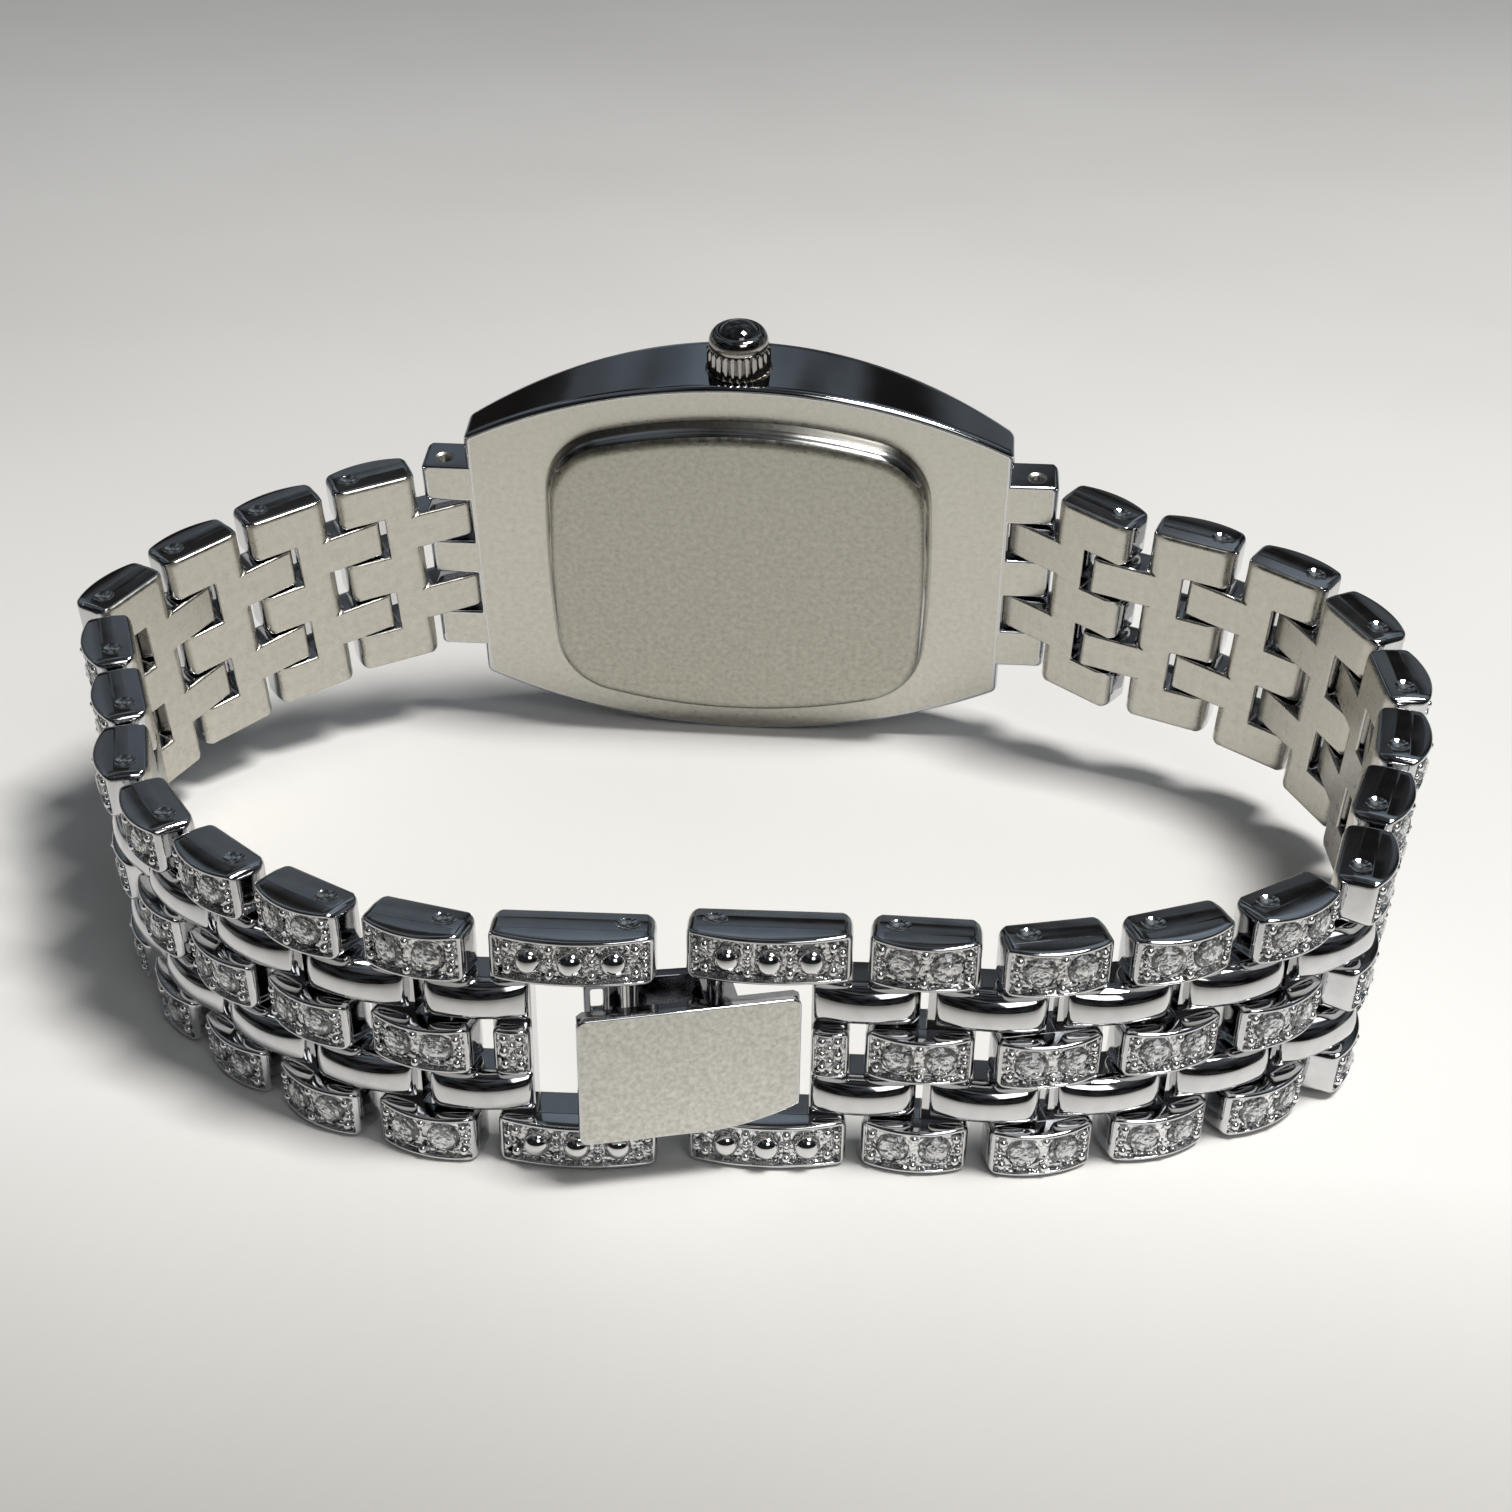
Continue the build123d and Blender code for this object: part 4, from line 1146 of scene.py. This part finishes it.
# ---------------------------------------------------------------- crown
def crown_mesh():
    s = Shell()
    n = 28 * 8
    c, y0 = 1.85, 12.27

    def ring(r, y, flute=0.0):
        out = []
        for i in range(n):
            a = 2 * math.pi * i / n
            ph = (i % 8) / 8.0
            dip = flute * (1 - abs(2 * ph - 1) ** 2.4)
            out.append(((r - dip) * math.cos(a), y, (r - dip) * math.sin(a)))
        return out

    f = 0.17
    loops = [ring(1.10, y0 + 0.9), ring(1.10, y0 + 0.02), ring(1.60, y0), ring(1.74, y0 + 0.03, 0.05), ring(1.84, y0 + 0.13, f * 0.8), ring(1.86, y0 + 0.22, f),
             ring(1.86, y0 + 1.34, f), ring(1.85, y0 + 1.44, f * 0.85), ring(1.79, y0 + 1.54, f * 0.35), ring(1.72, y0 + 1.60, 0.0), ring(1.70, y0 + 1.64, 0.0)]
    # smooth collar
    for k in range(0, 9):
        t = math.pi / 2 * k / 8
        loops.append(ring(1.24 + 0.50 * math.cos(t), y0 + 1.70 + 0.80 * math.sin(t)))
    loops += [ring(1.20, y0 + 2.50), ring(1.16, y0 + 2.44), ring(1.16, y0 + 2.05)]
    skin(s, loops, 0, cap_first=0, cap_last=0)
    return finish(s.mesh("crown_shape", [CROWN_STEEL_PAINTED_DARK], sharp=50))


CROWN_AT = CASE_AT @ pos(0, 0, CROWN_Z)
show("crown_head", crown_mesh(), CROWN_AT, "crown_body", "crown", slot="polished_steel")
prof = [(0.0, 14.33), (1.14, 14.33), (1.15, 14.70)]
ball_r = (1.15 ** 2 + 0.56 ** 2) / (2 * 0.56)
for k in range(1, 13):
    r = 1.15 * math.cos(math.pi / 2 * k / 12)
    prof.append((r if k < 12 else 0.0, 14.70 + math.sqrt(ball_r ** 2 - r ** 2) - (ball_r - 0.56)))
show("crown_stone", revolve(prof, n=64).mesh("cabochon_shape", [ONYX], sharp=50), CROWN_AT, "crown_body", "crown_cabochon", slot="black_stone")

# ---------------------------------------------------------------- finishes of the CAD pieces that stay
KEEP = {
    "back_gasket": RUBBER, "crown_gasket": RUBBER, "crystal_gasket": NYLON, "movement_holder": NYLON, "front_crystal": CRYSTAL,
    "dial_ring": HAND_STEEL, "dial": DIAL, "hour_markers": HAND_STEEL, "hour_hand": HAND_STEEL, "minute_hand": HAND_STEEL,
    "hour_tube": PIN_STEEL, "centre_arbor": PIN_STEEL, "movement_plate": BRASS, "movement_circuit": CIRCUIT, "battery": NICKEL,
    "battery_clamp": NICKEL, "winding_stem": PIN_STEEL, "crown_tube": PIN_STEEL, "lug_pin_right": PIN_STEEL, "lug_pin_left": PIN_STEEL,
}
for name, mat in KEEP.items():
    o = NODES[name]
    o.data.materials.clear()
    o.data.materials.append(mat)

# ---------------------------------------------------------------- stage, light and camera
floor_mesh = bpy.data.meshes.new("floor")
floor_mesh.from_pydata([(-3, -3, 0), (3, -3, 0), (3, 3, 0), (-3, 3, 0)], [], [(0, 1, 2, 3)])
floor = bpy.data.objects.new("floor", floor_mesh)
bpy.context.scene.collection.objects.link(floor)
m, nt, b = new_mat("pale_table")
v = coords(nt)
n1 = node(nt, "ShaderNodeTexNoise", Scale=14.0, Detail=3.0, Roughness=0.5)
nt.links.new(v, n1.inputs["Vector"])
tone = ramp(nt, n1.outputs["Fac"], [(0.3, (0.70, 0.69, 0.675, 1)), (0.7, (0.76, 0.755, 0.74, 1))])
# painted shade: the table's colour darkens towards the front, near the camera, in place of the light falling off there
place = nt.nodes.new("ShaderNodeSeparateXYZ")
nt.links.new(v, place.inputs[0])
front = ramp(nt, to_range(nt, place.outputs["Y"], 0.0, 1.0, -0.085, -0.022), [(0.0, (0.33, 0.32, 0.30, 1)), (0.45, (0.51, 0.50, 0.48, 1)), (0.78, (0.79, 0.785, 0.765, 1)), (1.0, (1.0, 1.0, 1.0, 1))])
shade = nt.nodes.new("ShaderNodeMix")
shade.data_type, shade.blend_type = "RGBA", "MULTIPLY"
shade.inputs[0].default_value = 1.0
nt.links.new(tone, shade.inputs[6])
nt.links.new(front, shade.inputs[7])
nt.links.new(shade.outputs[2], b.inputs["Base Color"])
n2 = node(nt, "ShaderNodeTexNoise", Scale=1500.0, Detail=2.0)
nt.links.new(v, n2.inputs["Vector"])
nt.links.new(bump(nt, n2.outputs["Fac"], 0.05, 0.0002), b.inputs["Normal"])
b.inputs["Roughness"].default_value = 0.62
floor.data.materials.append(m)

world = bpy.data.worlds.new("studio")
bpy.context.scene.world = world
world.use_nodes = True
wn = world.node_tree
bg = wn.nodes["Background"]
geo = wn.nodes.new("ShaderNodeTexCoord")
sep = wn.nodes.new("ShaderNodeSeparateXYZ")
wn.links.new(geo.outputs["Generated"], sep.inputs[0])


def sky(stops):
    return ramp(wn, sep.outputs["Z"], [(p, (*c, 1)) for p, c in stops])


def blend(fac, a, b, kind="MIX"):
    n = wn.nodes.new("ShaderNodeMix")
    n.data_type = "RGBA"
    n.blend_type = kind
    if hasattr(fac, "links"):
        wn.links.new(fac, n.inputs[0])
    else:
        n.inputs[0].default_value = fac
    wn.links.new(a, n.inputs[6])
    wn.links.new(b, n.inputs[7])
    return n.outputs[2]


# a dim room: blue-grey behind the watch, dark on the side of the camera, with soft patches
behind = sky([(0.0, (0.34, 0.34, 0.33)), (0.10, (0.22, 0.23, 0.235)), (0.30, (0.100, 0.112, 0.122)), (0.52, (0.062, 0.067, 0.072)), (0.64, (0.085, 0.098, 0.112)), (0.84, (0.215, 0.250, 0.285)), (1.0, (0.080, 0.088, 0.098))])
before = sky([(0.0, (0.030, 0.028, 0.026)), (0.25, (0.016, 0.016, 0.017)), (0.55, (0.022, 0.023, 0.026)), (0.80, (0.070, 0.074, 0.080)), (1.0, (0.030, 0.034, 0.040))])
side = to_range(wn, sep.outputs["Y"], 1.0, 0.0, -0.30, 0.25)
room = blend(side, behind, before)
cloud = node(wn, "ShaderNodeTexNoise", Scale=4.2, Detail=2.0, Roughness=0.55)
wn.links.new(geo.outputs["Generated"], cloud.inputs["Vector"])
patches = ramp(wn, cloud.outputs["Fac"], [(0.38, (0.16, 0.13, 0.11, 1)), (0.45, (0.45, 0.42, 0.39, 1)), (0.50, (1.0, 1.0, 1.0, 1)), (0.62, (1.55, 1.60, 1.65, 1))])
room = blend(1.0, room, patches, "MULTIPLY")
wn.links.new(room, bg.inputs["Color"])
bg.inputs["Strength"].default_value = 1.0


def area(name, at, aim, size, power, color=(1, 1, 1), size_y=None):
    light = bpy.data.lights.new(name, "AREA")
    light.energy = power
    light.color = color
    light.size = size
    if size_y:
        light.shape = "RECTANGLE"
        light.size_y = size_y
    o = bpy.data.objects.new(name, light)
    bpy.context.scene.collection.objects.link(o)
    o.location = at
    o.rotation_mode = "QUATERNION"
    o.rotation_quaternion = (Vector(aim) - Vector(at)).to_track_quat("-Z", "Y")
    return o


area("key", (0.150, -0.070, 0.40), (0, 0, 0.0), 0.12, 2.22, (1.0, 0.985, 0.955))
area("glint", (0.17, -0.38, 0.36), (0, -0.01, 0.008), 0.20, 0.40, (0.97, 0.985, 1.0))

cam_data = bpy.data.cameras.new("camera")
cam = bpy.data.objects.new("camera", cam_data)
bpy.context.scene.collection.objects.link(cam)
cam_data.sensor_width = 36.0
cam_data.lens = 36.0 * 2362.3 / 1512
cam_data.shift_x = (756 - 736.65) / 1512
cam_data.shift_y = (985.98 - 756) / 1512
cam_data.clip_start, cam_data.clip_end = 0.005, 10.0
right = Vector((0.996255, 0.085708, 0.011434))
forward = Vector((-0.065887, 0.838096, -0.541529))
up = Vector((-0.055996, 0.538747, 0.840605))
turn = Matrix((right, up, -forward)).transposed().to_4x4()
turn.translation = Vector((9.4956, -114.956, 68.6485)) * MM
cam.matrix_world = turn
bpy.context.scene.camera = cam
bpy.context.scene.view_settings.view_transform = "Standard"
bpy.context.scene.view_settings.look = "None"
bpy.context.scene.view_settings.exposure = 0.0
